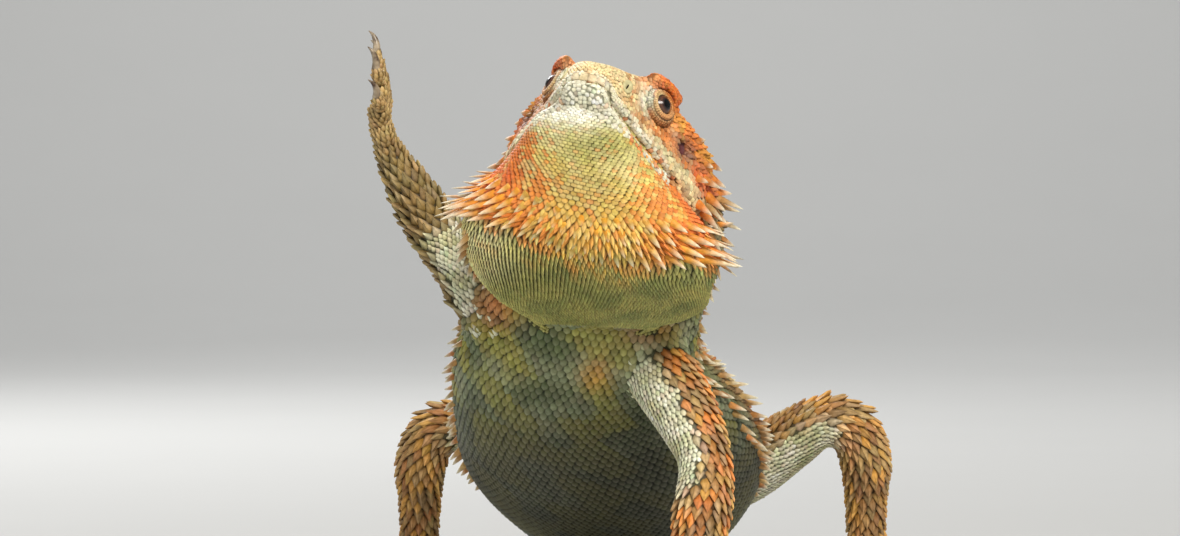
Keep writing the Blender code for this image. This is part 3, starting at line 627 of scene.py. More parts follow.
def lattice(rings, width, step, seed, loose, atlas, span=(0.0, 1.0)):
    """Rows of places round a tube, staggered evenly at ROW_START, with directions and spacing."""
    draw = np.random.default_rng(seed)
    count, sides = rings.shape[:2]
    lengths = summed(np.linalg.norm(np.diff(rings, axis=0), axis=2).mean(axis=1))
    total = lengths[-1]
    params = np.arange(sides + 1) / sides
    middles = (params[:-1] + params[1:]) / 2
    rows = []
    at, row = span[0] * total, 0
    while at < span[1] * total:
        f = np.interp(at, lengths, np.arange(count))
        i = min(int(f), count - 2)
        ring = rings[i] * (1 - (f - i)) + rings[i + 1] * (f - i)
        ahead = rings[i + 1] - rings[i]
        closed = np.vstack([ring, ring[:1]])
        share = at / total
        widths = np.broadcast_to(width(share, middles), middles.shape)
        made = summed(norms(np.diff(closed, axis=0)) / widths)
        number = int(round(made[-1]))
        if number > 0:
            start = np.interp(ROW_START, params, made) * number / made[-1] + 0.5 * (row % 2)
            want = (np.arange(number) + start + draw.uniform(-loose, loose, number)) % number
            u = np.interp(want * made[-1] / number, made, params)
            k = np.minimum((u * sides).astype(int), sides - 1)
            w = (u * sides - k)[:, None]
            place = closed[k] * (1 - w) + closed[k + 1] * w
            way = ahead[k] * (1 - w) + ahead[(k + 1) % sides] * w
            place = place + unit(way) * draw.uniform(-loose, loose, (number, 1)) * step(share)
            long = step(share) * np.clip(norms(way) / norms(ahead).mean(), 0.8, 2.0)
            across, along = atlas[0] + (atlas[2] - atlas[0]) * share, atlas[1] + (atlas[3] - atlas[1]) * u
            flat = (np.interp(u, middles, widths), long, np.full(number, share), u, across + 0 * u, along)
            rows.append(np.hstack([place, unit(way), place - ring.mean(axis=0), np.stack(flat, axis=1)]))
        at += step(share)
        row += 1
    names = ("place", "way", "outward", "gap", "step", "share", "u", "uv")
    parts = np.split(np.vstack(rows), (3, 6, 9, 10, 11, 12, 13), axis=1)
    return {name: (part[:, 0] if part.shape[1] == 1 else part) for name, part in zip(names, parts)}


def picked(spots, keep):
    return {name: value[keep] for name, value in spots.items()}


def bare(points):
    """Where no scale grows: the eyes and lids, ears, nostrils and the mouth line."""
    head = to_head(points)
    made = np.zeros(len(points), bool)
    for _, mirror in HANDS:
        from_eye = head - EYE_CENTRE * mirror
        height = from_eye @ (EYE_AXIS * mirror)
        off = norms(from_eye - height[:, None] * (EYE_AXIS * mirror))
        lid = np.interp(off, (2.4, 3.4, 4.2, 4.9), (4.1, 3.9, 3.2, 2.4))
        made |= (height > -1.0) & (off < 4.9) & (height < lid) | (height > 0.0) & (off < 3.2)
        made |= norms((head - EAR * mirror) / (4.0, 1.7, 2.2)) < 1.0
        made |= norms(head - (NOSTRIL + NOSTRIL_AXIS * 1.8) * mirror) < 1.8
    line = (np.abs(head[:, 2] - mouth_line(head[:, 1])) < 0.3) & (np.abs(head[:, 0]) < FACE_HALF_WIDTH)
    return made | line & (head[:, 1] < MOUTH_CORNER) & (head[:, 1] > -4.0)


def known_roots():
    known = KDTree(len(Skin.roots))
    for i, root in enumerate(Skin.roots):
        known.insert(root, i)
    known.balance()
    return known


def room_of(spots):
    """How wide a place each scale takes."""
    return np.minimum(spots["gap"], spots["step"] * 1.2)


def seated(spots, reach):
    """The spots moved onto the skin, without those inside the body, on bare places or on other scales."""
    places, normals, keep = [], [], []
    for place, outward in zip(spots["place"], spots["outward"]):
        found, normal, _, distance = Skin.tree.find_nearest(Vector(place))
        keep.append(distance < reach and normal.dot(Vector(outward)) > 0.0)
        places.append(found)
        normals.append(normal)
    spots = dict(spots, place=np.array(places), normal=np.array(normals))
    keep = np.array(keep) & ~bare(spots["place"]) & (spots["place"][:, 2] > 0.3)
    if len(Skin.roots):
        known = known_roots()
        need = CROWDING * room_of(spots)
        for i in np.nonzero(keep)[0]:
            _, near, distance = known.find(spots["place"][i])
            keep[i] = distance >= max(need[i], 0.5 * Skin.sizes[near])
    spots = picked(spots, keep)
    return pointed_along(spots, spots["way"])


def pointed_along(spots, way):
    """Turns the spots' directions towards another one, kept in the surface."""
    way = way - spots["normal"] * (way * spots["normal"]).sum(axis=1)[:, None]
    spots["way"] = unit(way)
    return spots


def remember(spots, colours):
    """Keeps the scales' roots, so that later ones stay clear and the skin takes the same markings."""
    Skin.roots = np.vstack([Skin.roots, spots["place"]])
    Skin.looks = np.vstack([Skin.looks, colours])
    Skin.along = np.vstack([Skin.along, spots["way"]])
    Skin.sizes = np.concatenate([Skin.sizes, room_of(spots)])
    Skin.uvs = np.vstack([Skin.uvs, spots["uv"]])


# ---------------------------------------------------------------- scale shapes


def sphere_pattern(u, v):
    """A small sphere's points and triangles, for the scale shapes to be pulled from."""
    shape = bmesh.new()
    bmesh.ops.create_uvsphere(shape, u_segments=u, v_segments=v, radius=1.0)
    bmesh.ops.triangulate(shape, faces=shape.faces)
    shape.verts.ensure_lookup_table()
    points = np.array([vert.co for vert in shape.verts])
    faces = np.array([[vert.index for vert in face.verts] for face in shape.faces])
    shape.free()
    return points, faces


def plate_shapes():
    """A flat square tile and a keeled, pointed plate: 1 wide, about 1 long, 1 high, the rear end sunk."""
    points, faces = sphere_pattern(8, 4)
    flat = np.hypot(points[:, 0], points[:, 1])
    pole = flat < 0.01
    x, y = (np.where(pole, 0.0, points[:, k] / np.maximum(flat, 0.01)) for k in (0, 1))
    top, under = points[:, 2] > 0.3, points[:, 2] < -0.3
    tip, rear = np.maximum(y, 0.0), np.maximum(-y, 0.0)
    corner = np.where(np.abs(x * y) > 0.2, 1.27, 1.0) * np.select([pole, top, under], [0.0, 0.74, 0.84], 1.0)
    parts = [pole & top, top, under]
    tile_height = np.select(parts, [1.0, 0.88 + 0.10 * y, -0.85], 0.12 + 0.34 * tip - 0.4 * rear)
    tile = np.stack([0.5 * x * corner, 0.5 * y * corner, tile_height], axis=1)
    keel = np.where(np.abs(x) < 0.1, 0.82 + 0.75 * tip, 0.46 + 0.25 * tip)
    narrow = np.select([pole, top, under], [0.0, 0.42, 0.78], 1.0 - 0.26 * tip)
    reach = np.select([pole, top, under], [0.0, 0.76, 0.72], 1.0)
    height = np.select(parts, [1.12, keel, -0.85 + 0.5 * tip], 0.06 + 1.1 * tip**3 - 0.4 * rear)
    along = (0.5 * y + 0.38 * tip**6) * reach + 0.06 * (pole & top)
    keeled = np.stack([0.53 * x * narrow, along, height], axis=1)
    weight = np.select(parts, [0.40, np.clip(0.35 + 0.65 * y, 0.0, 1.0), 0.0], 0.9 * tip**4)
    # edge: how far painted shade darkens each point, on the rim, the underside and the rear of the top, where
    # the scales overlap.
    edge = np.where(top, 0.45 * rear, 1.0)
    return tile, keeled, faces, weight, edge


def dome_shapes():
    """A low dome and a peaked one, 1 wide, the base sunk."""
    points, faces = sphere_pattern(8, 3)
    pole = np.hypot(points[:, 0], points[:, 1]) < 0.01
    low = points * np.array([0.58, 0.58, 1.0])
    low[:, 2] = np.sign(points[:, 2]) * np.where(pole, 1.0, 0.35) - 0.5 * (points[:, 2] < 0)
    peaked = low.copy()
    peaked[np.argmax(points[:, 2])] = (0.0, 0.28, 1.9)
    # Its last part darkens all but the top point by painted shade.
    return low, peaked, faces, (points[:, 2] > 0.9).astype(float), np.where(pole, 0.0, 1.0)


def spine_shapes():
    """A tapered spine lying along Y, its butt sunk: blunt with an even taper, and sharp and curved."""
    points, faces = sphere_pattern(8, 7)
    along = np.arccos(np.clip(points[:, 2], -1, 1)) / math.pi
    thick = np.where(along < 0.2, 0.8 + along, 1.0) * np.clip(1.0 - along, 0.0, 1.0) ** 0.66
    flat = np.hypot(points[:, 0], points[:, 1])
    x, y = (np.where(flat > 0.01, points[:, k] / np.maximum(flat, 0.01), 0.0) for k in (0, 1))
    height = 0.5 * y * thick * np.where(y > 0, 1.15, 0.7)
    straight = np.stack([0.5 * x * thick, along * 1.22 - 0.22, height], axis=1)
    curved = straight.copy()
    curved[:, 2] += 0.9 * along**2
    return straight, curved, faces, smooth(along, 0.35, 1.0), np.zeros(len(points))


def stamped(name, shapes, spots, width, length, height, lift, blend, colour, tip, shade):
    """One mesh of a shape set at every spot, with its colours and its OFBake map."""
    first, second, faces, weight, edge = shapes
    n, count = len(spots["place"]), len(first)
    blend = np.broadcast_to(blend, (n,))[:, None, None]
    local = first[None] * (1 - blend) + second[None] * blend
    angle = np.broadcast_to(np.radians(lift), (n,))[:, None]
    side = np.cross(spots["way"], spots["normal"])
    ahead = spots["way"] * np.cos(angle) + spots["normal"] * np.sin(angle)
    up = spots["normal"] * np.cos(angle) - spots["way"] * np.sin(angle)
    co = spots["place"][:, None]
    for k, (axis, size) in enumerate(((side, width), (ahead, length), (up, height))):
        co = co + axis[:, None] * local[..., k : k + 1] * np.broadcast_to(size, (n,))[:, None, None]
    co[..., 2] = np.maximum(co[..., 2], 0.0)
    co = (co + SHIFT) * MM
    paint = colour[:, None] * (1 - weight[None, :, None]) + tip[:, None] * weight[None, :, None]
    # Painted shade: rims, undersides and root ends darkened by shade, for the shade between and under
    # overlapping scales.
    paint = paint * (1.0 - shade * edge * (1 - weight))[None, :, None]
    mesh = bpy.data.meshes.new(name)
    mesh.vertices.add(n * count)
    mesh.vertices.foreach_set("co", co.astype(np.float32).ravel())
    index = (faces[None] + (np.arange(n) * count)[:, None, None]).reshape(-1)
    mesh.loops.add(len(index))
    mesh.loops.foreach_set("vertex_index", index.astype(np.int32))
    mesh.polygons.add(len(index) // 3)
    mesh.polygons.foreach_set("loop_start", np.arange(0, len(index), 3, dtype=np.int32))
    layer = mesh.uv_layers.new(name="OFBake")
    uv = spots["uv"][:, None] + first[None, :, :2] * 0.0026
    layer.data.foreach_set("uv", uv.reshape(-1, 2)[index].astype(np.float32).ravel())
    paint_points(mesh, paint.reshape(-1, 3))
    mesh.update()
    mesh.validate()
    return smooth_shaded(linked(name, mesh), 58.0)


# ---------------------------------------------------------------- colours of the animal


def blob(points, centre, radius):
    return np.exp(-(norms((points - np.array(centre)) / np.array(radius)) ** 2))


def patches(points, size, seed, low, high):
    """Blotches with firm edges, drawn between the low and high values of smooth ones."""
    return smooth(patchy(points, size, seed), low, high)


def dorsal_part(u, low, high):
    """How far up the back a turn round the trunk lies, from 0 at the belly to 1."""
    return smooth(np.cos((u - 0.25) * 2 * math.pi), low, high)


def ground(colour, points):
    return np.tile(np.array(colour), (len(points), 1))


def mixed(base, other, share):
    share = np.broadcast_to(np.clip(share, 0.0, 1.0), (len(base),))[:, None]
    return base * (1 - share) + np.array(other) * share


def layered(made, *layers):
    """Colours with layers laid over them in turn, each a colour and how much of it shows."""
    for colour, share in layers:
        made = mixed(made, colour, share)
    return made


def varied(colours, seed, amount):
    """The colours, each a little lighter, darker or shifted."""
    draw = np.random.default_rng(seed)
    level = draw.normal(1.0, amount, (len(colours), 1)) + draw.normal(0.0, amount * 0.25, colours.shape)
    return np.clip(colours * np.clip(level, 0.45, 1.6), 0.0, BRIGHTEST)


def throat_colours(p, seed):
    """Cream and olive in the middle, orange growing towards the sides and the fringe, olive below it with a
    cream painted highlight low on the side at negative X.
    """
    c = props().colours
    draw = np.random.default_rng(seed)
    x, z = p[:, 0], p[:, 2]
    above = z - np.interp(x, FRINGE_X, FRINGE_Z)
    rich = draw.uniform(0, 1, len(p))
    olive = np.exp(-(((x - 2.0) / 9.0) ** 2) - ((z - 114.0) / 7.0) ** 2)
    olive = np.maximum(olive, 0.5 * np.exp(-(((x - 1.0) / 8.0) ** 2) - ((z - 106.0) / 8.0) ** 2))
    side = smooth(np.abs(x - 1.0), 6.0, 21.0)
    chance = 0.10 + 0.95 * side + 0.10 * smooth(above, 9.0, 0.0)
    chance = chance * (1 - 0.8 * olive) * (0.35 + 1.2 * patchy(p, 9.0, 3)) * smooth(z, 124.0, 116.0)
    orange = smooth(draw.uniform(0, 1, len(p)) - chance, 0.16, -0.16)
    streak = (
        blob(p, (25.0, -14.0, 100.0), (6.0, 16.0, 10.0))
        + 0.8 * blob(p, (-21.0, -20.0, 109.0), (6.5, 16.0, 8.0))
        + 0.6 * blob(p, (32.0, -10.0, 92.0), (6.0, 14.0, 5.0))
    )
    chin = blob(p, (-3.4, -36.0, 123.0), (7.5, 12.0, 6.0))
    chin = chin + 0.85 * smooth(z + 2.5 * (rich - 0.5), 115.5, 120.5)
    upper = layered(
        ground(c.cream_yellow, p),
        (c.cream, 0.45 * patchy(p, 8.0, 2)),
        (c.golden, smooth(above, 24.0, 4.0) * (0.35 + 0.65 * rich)),
        (c.olive, (0.55 + 0.35 * rich) * olive),
        (c.orange, (0.62 + 0.38 * side) * orange),
        (c.red_orange, streak * (0.45 + 0.65 * patchy(p, 5.0, 4))),
        (c.lip_white, chin * (0.65 + 0.4 * patchy(p, 4.0, 5))),
    )
    lower = layered(
        ground(c.pouch_olive, p),
        # Painted highlight: cream laid on the lower pouch towards negative X, where the light falls
        # brightest.
        (c.cream, 0.65 * smooth(x, -12.0, -26.0) * smooth(z, 78.0, 86.0)),
        (c.cream_yellow, 0.1 + 0.25 * patchy(p, 9.0, 8) + 0.2 * rich),
        (c.orange, 0.55 * patches(p, 7.0, 9, 0.72, 0.9) * smooth(above, -11.0, -2.0)),
    )
    middle = smooth(np.abs(x - 1.0), 22.0, 12.0)
    edge = above + 3.0 * middle * (rich - 0.3)
    return mixed(upper, lower, smooth(edge, 0.8 - 1.0 * middle, -2.4 - 5.0 * middle))


def body_colours(p, u):
    """The trunk: olive chest with patches, darkened in part as painted shade, the lower belly painted near
    black as shade under the body, tan and orange back.
    """
    c = props().colours
    belly = layered(
        # The chest's ground colour is partly painted shade: its own olive darkened for the shade the chest
        # lies in.
        ground(c.chest, p),
        (c.pale_green, 0.5 * patchy(p, 13.0, 21) + 0.9 * blob(p, (10.0, -4.0, 62.0), (9.0, 14.0, 8.0))),
        (c.yellow_green, 0.75 * patches(p, 16.0, 22, 0.45, 0.8)),
        # Painted shade: the lower belly darkens to near black towards the floor and the front, for the shade
        # under the body.
        (c.painted_belly_shade, 0.86 * smooth(p[:, 2], 66.0, 34.0) * smooth(p[:, 1], 130.0, 60.0)),
    )
    for centre, radius, patch in (
        ((-24.0, 6.0, 75.5), (6.0, 12.0, 5.0), c.orange),
        ((14.0, 4.0, 70.0), (6.5, 12.0, 4.0), c.orange_brown),
        ((1.5, 8.0, 59.5), (3.5, 10.0, 4.0), c.golden),
        ((-19.0, 8.0, 60.0), (4.0, 10.0, 4.0), c.yellow_green),
    ):
        belly = mixed(belly, np.array(patch) * 0.9, 0.8 * blob(p, centre, radius))
    back = layered(
        ground(c.tan, p),
        (c.orange_brown, patches(p, 17.0, 31, 0.35, 0.75)),
        (c.brown, 0.75 * patches(p * np.array([1.6, 0.8, 1.0]), 15.0, 32, 0.55, 0.8)),
    )
    # Partly painted shade: brown on the neck's sides, stronger higher up under the head, is part the neck's
    # own colour and part the shade under the jaw.
    neck = smooth(p[:, 2], 84.0, 94.0) * smooth(np.abs(p[:, 0] - 3.0), 12.0, 20.0)
    return layered(belly, (back, dorsal_part(u, -0.15, 0.35)), (c.brown, 0.7 * neck))


def tail_colours(p, u, share):
    """The tail: tan with darker bands, paler below, taking up the trunk's colours at its root."""
    c = props().colours
    band = smooth(np.sin(p[:, 1] * 0.33 + 0.6 * np.sin(u * 2 * math.pi)), -0.1, 0.5)
    dorsal = dorsal_part(u, -0.4, 0.3)
    root = TORSO_END / spline(TRUNK)[1][-1]
    return layered(
        ground(c.tan, p),
        (c.brown, 0.75 * band * dorsal),
        (c.pale_green, 0.5 * (1 - dorsal)),
        (body_colours(p, u), smooth(share, root + 0.10, root)),
    )


def limb_colours(p, limb, inner, share):
    """A limb: tan and orange outside, the raised right arm olive-brown and darkened as painted shade, and
    pale inside.
    """
    c = props().colours
    left, right = limb == "arm_left", limb == "arm_right"
    outer = layered(
        ground(c.tan, p),
        (c.orange_brown, 0.75 * patchy(p, 7.0, 41)),
        (c.golden, 0.5 * patches(p, 5.0, 47, 0.5, 0.8) * (not right)),
        (c.orange, 0.7 * patches(p, 6.0, 42, 0.5, 0.8) * left),
        (c.brown, 0.5 * patches(p, 12.0, 44, 0.55, 0.85)),
    )
    # Partly painted shade: the raised right arm takes an olive-brown mix as its own colour, then is darkened
    # to 0.60 for the shade it lies in.
    if right:
        outer = mixed(outer, np.array(c.brown) + np.array(c.olive), 0.45) * 0.60
    pale = layered(
        ground(c.lip_white, p),
        (c.pale_green, 0.05 + 0.55 * patchy(p, 7.0, 43)),
        (c.yellow_green, 0.4 * patches(p, 8.0, 45, 0.6, 0.85)),
    )
    return layered(
        outer,
        (c.tan, 0.8 * smooth(share, 0.80, 0.95)),
        (pale, inner),
        (c.pale_green, 0.75 * inner * smooth(share, 0.24, 0.06) * left),
    )


def head_colours(p, seed):
    """Peach snout, orange brow and temples, white lips, a pale cheek band and the dark ear."""
    c = props().colours
    h = to_head(p)
    h[:, 0] = np.abs(h[:, 0])
    y, z = h[:, 1], h[:, 2]
    brow = blob(h, BROW, (5.2, 9.0, 4.6))
    temple = smooth(y, 22.0, 27.0) * smooth(z, 5.0, 9.0)
    stripe = smooth(y, 8.0, 13.0) * smooth(y, 29.0, 22.0) * smooth(np.abs(z - 1.6 - 0.05 * y), 1.5, 0.5)
    rusty = smooth(y, 15.0, 20.0) * smooth(np.abs(z - 4.6), 3.0, 1.4) * (0.5 + 0.5 * patchy(p, 4.0, 58))
    lip = smooth(np.abs(z - mouth_line(y)), 3.4, 1.6) * smooth(y, 27.0, 20.0)
    lone = smooth(np.random.default_rng(seed).uniform(0, 1, len(p)), 0.80, 0.86)
    under = smooth(z - mouth_line(y), -0.3, -1.0) * smooth(y, 1.0, 5.0)
    return layered(
        ground(c.peach, p),
        (c.cream, 0.5 * patchy(p, 4.0, 50)),
        (c.orange_brown, 0.75 * patches(p, 3.6, 51, 0.45, 0.75) * smooth(y, 3.0, 9.0)),
        (c.orange, 0.85 * smooth(y, 10.0, 15.0) * smooth(z, 7.0, 11.0)),
        (c.brown, 0.45 * patches(p, 6.0, 56, 0.5, 0.8) * smooth(y, 8.0, 16.0)),
        (c.orange, 1.1 * brow),
        (c.red_orange, 0.75 * brow * patchy(p, 3.0, 57)),
        (c.orange, 0.92 * temple),
        (c.golden, 0.8 * temple * patches(p, 5.0, 52, 0.3, 0.6)),
        (np.array(c.lip_white) * 0.92, 1.1 * blob(h, (10.0, 14.4, 7.6), (3.4, 3.0, 3.6))),
        (c.orange_brown, 0.75 * stripe),
        (c.cream, 0.8 * smooth(y, 16.0, 22.0) * smooth(np.abs(z - 0.6), 2.0, 0.8)),
        (c.orange, 0.85 * rusty),
        (c.purple_brown, 1.1 * blob(h, EAR, (6.0, 4.2, 3.0))),
        (c.red_orange, 0.6 * smooth(y, 30.0, 35.0) * smooth(np.abs(z - 5.0), 6.0, 2.0)),
        (c.lip_white, 0.85 * lip),
        (c.orange_brown, 0.85 * lone * smooth(y, 8.0, 12.0) * lip),
        (throat_colours(p, seed + 1), under),
        (c.brown, 0.6 * smooth(y, 40.0, 47.0) * patchy(p, 6.0, 55)),
    )


# ---------------------------------------------------------------- materials


def new_material(name):
    """A material with its tree of nodes and its shader."""
    made = bpy.data.materials.new(name)
    made.use_nodes = True
    return made, made.node_tree, made.node_tree.nodes["Principled BSDF"]


def feed(tree, node, inputs):
    """Sets a node's inputs, each to a value or to the output that feeds it."""
    for name, value in inputs.items():
        if isinstance(value, bpy.types.NodeSocket):
            tree.links.new(value, node.inputs[name])
        else:
            node.inputs[name].default_value = value


def add_node(tree, kind, inputs, **settings):
    node = tree.nodes.new("ShaderNode" + kind)
    for name, value in settings.items():
        setattr(node, name, value)
    feed(tree, node, inputs)
    return node.outputs


def add_ramp(tree, factor, *stops, interpolation="LINEAR"):
    """A colour ramp with its stops, each a place along it and a colour."""
    ramp = tree.nodes.new("ShaderNodeValToRGB")
    ramp.color_ramp.interpolation = interpolation
    elements = ramp.color_ramp.elements
    for k, (place, colour) in enumerate(stops):
        stop = elements[k] if k < 2 else elements.new(place)
        stop.position, stop.color = place, (*colour, 1)
    feed(tree, ramp, {"Fac": factor})
    return ramp.outputs["Color"]


def add_noise(tree, place, scale, **inputs):
    return add_node(tree, "TexNoise", {"Vector": place, "Scale": scale, **inputs})["Fac"]


def scale_material(name, roughness):
    """Scales: the markings attribute, mottled finely, with a satin face and fine grain."""
    made, tree, shader = new_material(name)
    marks = add_node(tree, "Attribute", {}, attribute_name="markings")["Color"]
    place = add_node(tree, "TexCoord", {})["Object"]
    fine = add_noise(tree, place, GRAIN, Detail=4.0, Roughness=0.6)
    broad = add_noise(tree, place, GRAIN * 0.34, Detail=2.0)
    mottle = add_ramp(tree, broad, (0.34, (0.74, 0.71, 0.62)), (0.62, (1.10, 1.10, 1.08)))
    marked = {"Factor": 0.75, 6: marks, 7: mottle}
    grained = {"Value": fine, "To Min": roughness - 0.08, "To Max": roughness + 0.12}
    feed(tree, shader, {
        "Base Color": add_node(tree, "Mix", marked, data_type="RGBA", blend_type="MULTIPLY")[2],
        "Roughness": add_node(tree, "MapRange", grained)["Result"],
        "Normal": add_node(tree, "Bump", {"Strength": 0.3, "Distance": 0.00008, "Height": fine})["Normal"],
        "Specular IOR Level": 0.30,
    })
    return made


def horn_material(dark, pale):
    """Claws: streaked horn, glossy."""
    made, tree, shader = new_material("claw_horn")
    noise = add_noise(tree, add_node(tree, "TexCoord", {})["Object"], 420.0, Detail=3.0)
    feed(tree, shader, {"Base Color": add_ramp(tree, noise, (0.35, dark), (0.70, pale)), "Roughness": 0.32})
    return made


def eye_material(name, centre, axis):
    """A dark brown iris with fine rays round a black pupil, wet."""
    c = props().colours
    made, tree, shader = new_material(name)
    turn = Vector((0, 0, 1)).rotation_difference(Vector(axis)).to_euler()
    place = add_node(tree, "TexCoord", {})["Object"]
    placing = {"Vector": place, "Location": centre, "Rotation": turn, "Scale": (MM, MM, MM)}
    local = add_node(tree, "Mapping", placing, vector_type="TEXTURE")["Vector"]
    apart = add_node(tree, "SeparateXYZ", {"Vector": local})
    flat = add_node(tree, "CombineXYZ", {"X": apart["X"], "Y": apart["Y"]})["Vector"]
    radius = add_node(tree, "VectorMath", {0: flat}, operation="LENGTH")["Value"]
    rays = add_noise(tree, local, 2.2, Detail=5.0)
    wobble = add_node(tree, "Math", {0: rays, 1: 0.35, 2: radius}, operation="MULTIPLY_ADD")["Value"]
    share = add_node(tree, "Math", {0: wobble, 1: 4.0}, operation="DIVIDE")["Value"]
    iris = add_ramp(
        tree, share, (0.33, (0.001, 0.001, 0.001)), (0.37, c.iris_brown), (0.50, c.iris_gold),
        (0.66, c.iris_brown), (0.76, (0.01, 0.008, 0.006)), interpolation="EASE",
    )
    wet = {"Roughness": 0.25, "Specular IOR Level": 0.2, "Coat Weight": 0.45, "Coat Roughness": 0.02}
    feed(tree, shader, {"Base Color": iris, **wet})
    return made


def floor_material():
    """A plain pale floor, very slightly uneven in tone."""
    made, tree, shader = new_material("pale_floor")
    noise = add_noise(tree, add_node(tree, "TexCoord", {})["Object"], 9.0)
    tone = np.array(props().stage.floor_colour)
    colour = add_ramp(tree, noise, (0.0, tone * 0.97), (1.0, tone))
    feed(tree, shader, {"Base Color": colour, "Roughness": 0.85})
    return made


def coat_material(slot):
    name = slot + "_scales"
    return bpy.data.materials.get(name) or scale_material(name, 0.5)


# ---------------------------------------------------------------- pieces


def finish_scales(name, slot, shapes, spots, colours, width, length, height, lift, blend, pale, shade):
    """Stamps a coat piece, dresses it and keeps its roots."""
    tip = mixed(np.clip(colours * pale, 0.0, BRIGHTEST), props().colours.lip_white, 0.12)
    obj = stamped(name, shapes, spots, width, length, height, lift, blend, colours, tip, shade)
    remember(spots, colours)
    return dress(obj, coat_material(slot))


SPOT_KEYS = ("place", "normal", "way", "gap", "step", "share", "u", "uv")


def gathered(rows):
    """Spots from rows of place, normal, direction, width, length, share, turn and map place."""
    spots = {key: np.array([row[k] for row in rows], float) for k, key in enumerate(SPOT_KEYS)}
    return dict(spots, outward=spots["normal"])


def lip_line(offset, hand):
    """Places and normals along one side's lip, from the middle of the snout to the mouth's corner."""
    made, back = [], 0.0
    for k in range(200):
        angle = math.radians(min(k * 1.2, 90.0))
        outward = Vector(HEAD @ np.array([hand * math.sin(angle), -math.cos(angle), 0.0]))
        for _ in range(2):
            start = (0.0, 7.0 + max(k - 75, 0) * 0.2, mouth_line(back) + offset)
            found, normal, _, _ = Skin.tree.ray_cast(Vector(in_head(start)), outward)
            back = to_head(found)[1]
        if back > MOUTH_CORNER - 0.5:
            break
        made.append((*found, *normal))
    return np.array(made)


def along_lip(offset, first, spacing, seed):
    """Spots along both lips with spacing growing from the snout to the corner."""
    draw = np.random.default_rng(seed)
    rows = []
    for hand in (1, -1):
        line = lip_line(offset, hand)
        length = summed(norms(np.diff(line[:, :3], axis=0)))
        at = first
        while at < length[-1]:
            gap = np.interp(at, (0.0, 12.0, 34.0), spacing) * draw.uniform(0.9, 1.1)
            here, after = (
                np.array([np.interp(min(a, length[-1]), length, v) for v in line.T]) for a in (at, at + 0.3)
            )
            place, normal = here[:3], unit(here[3:])
            way = unit(after[:3] - place + 1e-6)
            uv = (0.62 + 0.008 * at, 0.90 + 0.02 * (hand > 0) + 0.01 * (offset > 0))
            rows.append((place, normal, way, gap, gap, at / 40.0, 0.5, uv))
            at += gap
    return gathered(rows)


# ---------------------------------------------------------------- settings


def number_property(name, description, default, **kind):
    return bpy.props.FloatProperty(name=name, description=description, default=default, **kind)


def size_property(name, description, default):
    return number_property(name, description, default, unit="LENGTH", precision=5)


class DragonSizes(bpy.types.PropertyGroup):
    """Sizes of the skin and scales."""

    voxel: size_property("Skin detail", "Spacing of the skin's mesh", 0.00104)
    coat_depth: size_property("Coat depth", "How far the skin lies under the solids", 0.0005)
    throat_scale: size_property("Throat scales", "Width of a scale in the middle of the throat", 0.0015)
    belly_scale: size_property("Belly scales", "Width of a scale on the chest and belly", 0.0021)
    limb_scale: size_property("Limb scales", "Width of a keeled scale on a limb's outer side", 0.0026)
    head_scale: size_property("Head scales", "Width of a scale on the head", 0.0011)
    spine_length: size_property("Spine length", "Longest spine of the beard", 0.0090)


def linear_colour(name, description, colour):
    return bpy.props.FloatVectorProperty(
        name=name, description=description, default=colour, subtype="COLOR", size=3, min=0.0, max=1.0
    )


def colour_property(name, description, colour):
    return linear_colour(name, description, tuple(tint(*colour)))


class DragonColours(bpy.types.PropertyGroup):
    """Colours of the markings."""

    lip_white: colour_property("Lips", "Shields of the lips and chin", (234, 230, 206))
    cream: colour_property("Cream", "Pale scales of the cheeks and inner arms", (220, 210, 164))
    cream_yellow: colour_property("Cream yellow", "Ground colour of the throat", (204, 190, 104))
    olive: colour_property("Olive", "Middle of the throat under the chin", (126, 124, 52))
    pouch_olive: colour_property("Pouch", "Lower pouch under the fringe", (98, 112, 54))
    yellow_green: colour_property("Yellow green", "Patches on the chest", (150, 144, 46))
    # Partly painted shade: the chest's own olive is darkened here for the shade it lies in.
    chest: colour_property("Chest", "Ground colour of the chest", (76, 90, 46))
    pale_green: colour_property("Pale green", "Pale belly scales", (172, 178, 140))
    # Painted shade: near black for the shade under the body, not the belly's own colour.
    painted_belly_shade: colour_property("Dark belly", "Lower belly", (22, 25, 16))
    orange: colour_property("Orange", "Orange scales of the beard", (224, 120, 20))
    golden: colour_property("Golden", "Pointed scales above the beard's fringe", (228, 166, 56))
    red_orange: colour_property("Red orange", "Streaks at the sides of the beard and the brow", (214, 74, 12))
    orange_brown: colour_property("Orange brown", "Outer arms and patches", (172, 104, 44))
    tan: colour_property("Tan", "Ground colour of the back and limbs", (180, 148, 92))
    brown: colour_property("Brown", "Neck, bands and blotches", (118, 86, 50))
    purple_brown: colour_property("Purple brown", "Round the ear", (92, 50, 48))
    peach: colour_property("Peach", "Snout", (240, 204, 148))
    # Painted shade in the crease of the lower lid's fold.
    painted_lid_fold_shade: colour_property("Lid fold", "Fold under the lower lid", (126, 104, 76))
    claw_dark: colour_property("Claw dark", "Darker streaks of the claws", (70, 52, 38))
    claw_pale: colour_property("Claw pale", "Paler streaks of the claws", (190, 172, 144))
    iris_gold: colour_property("Iris ring", "Thin ring round the pupil", (92, 62, 48))
    iris_brown: colour_property("Iris", "Iris", (46, 31, 30))


class StageSettings(bpy.types.PropertyGroup):
    """Floor, lights and camera."""

    floor_colour: linear_colour("Floor", "Colour of the floor", (0.49, 0.49, 0.48))
    key_power: number_property("Key light", "Power of the large light", 17.0, unit="POWER")
    fill_power: number_property("Fill light", "Power of the fill light", 3.6, unit="POWER")
    camera_lens: number_property("Lens", "Camera lens in millimetres", 127.1)


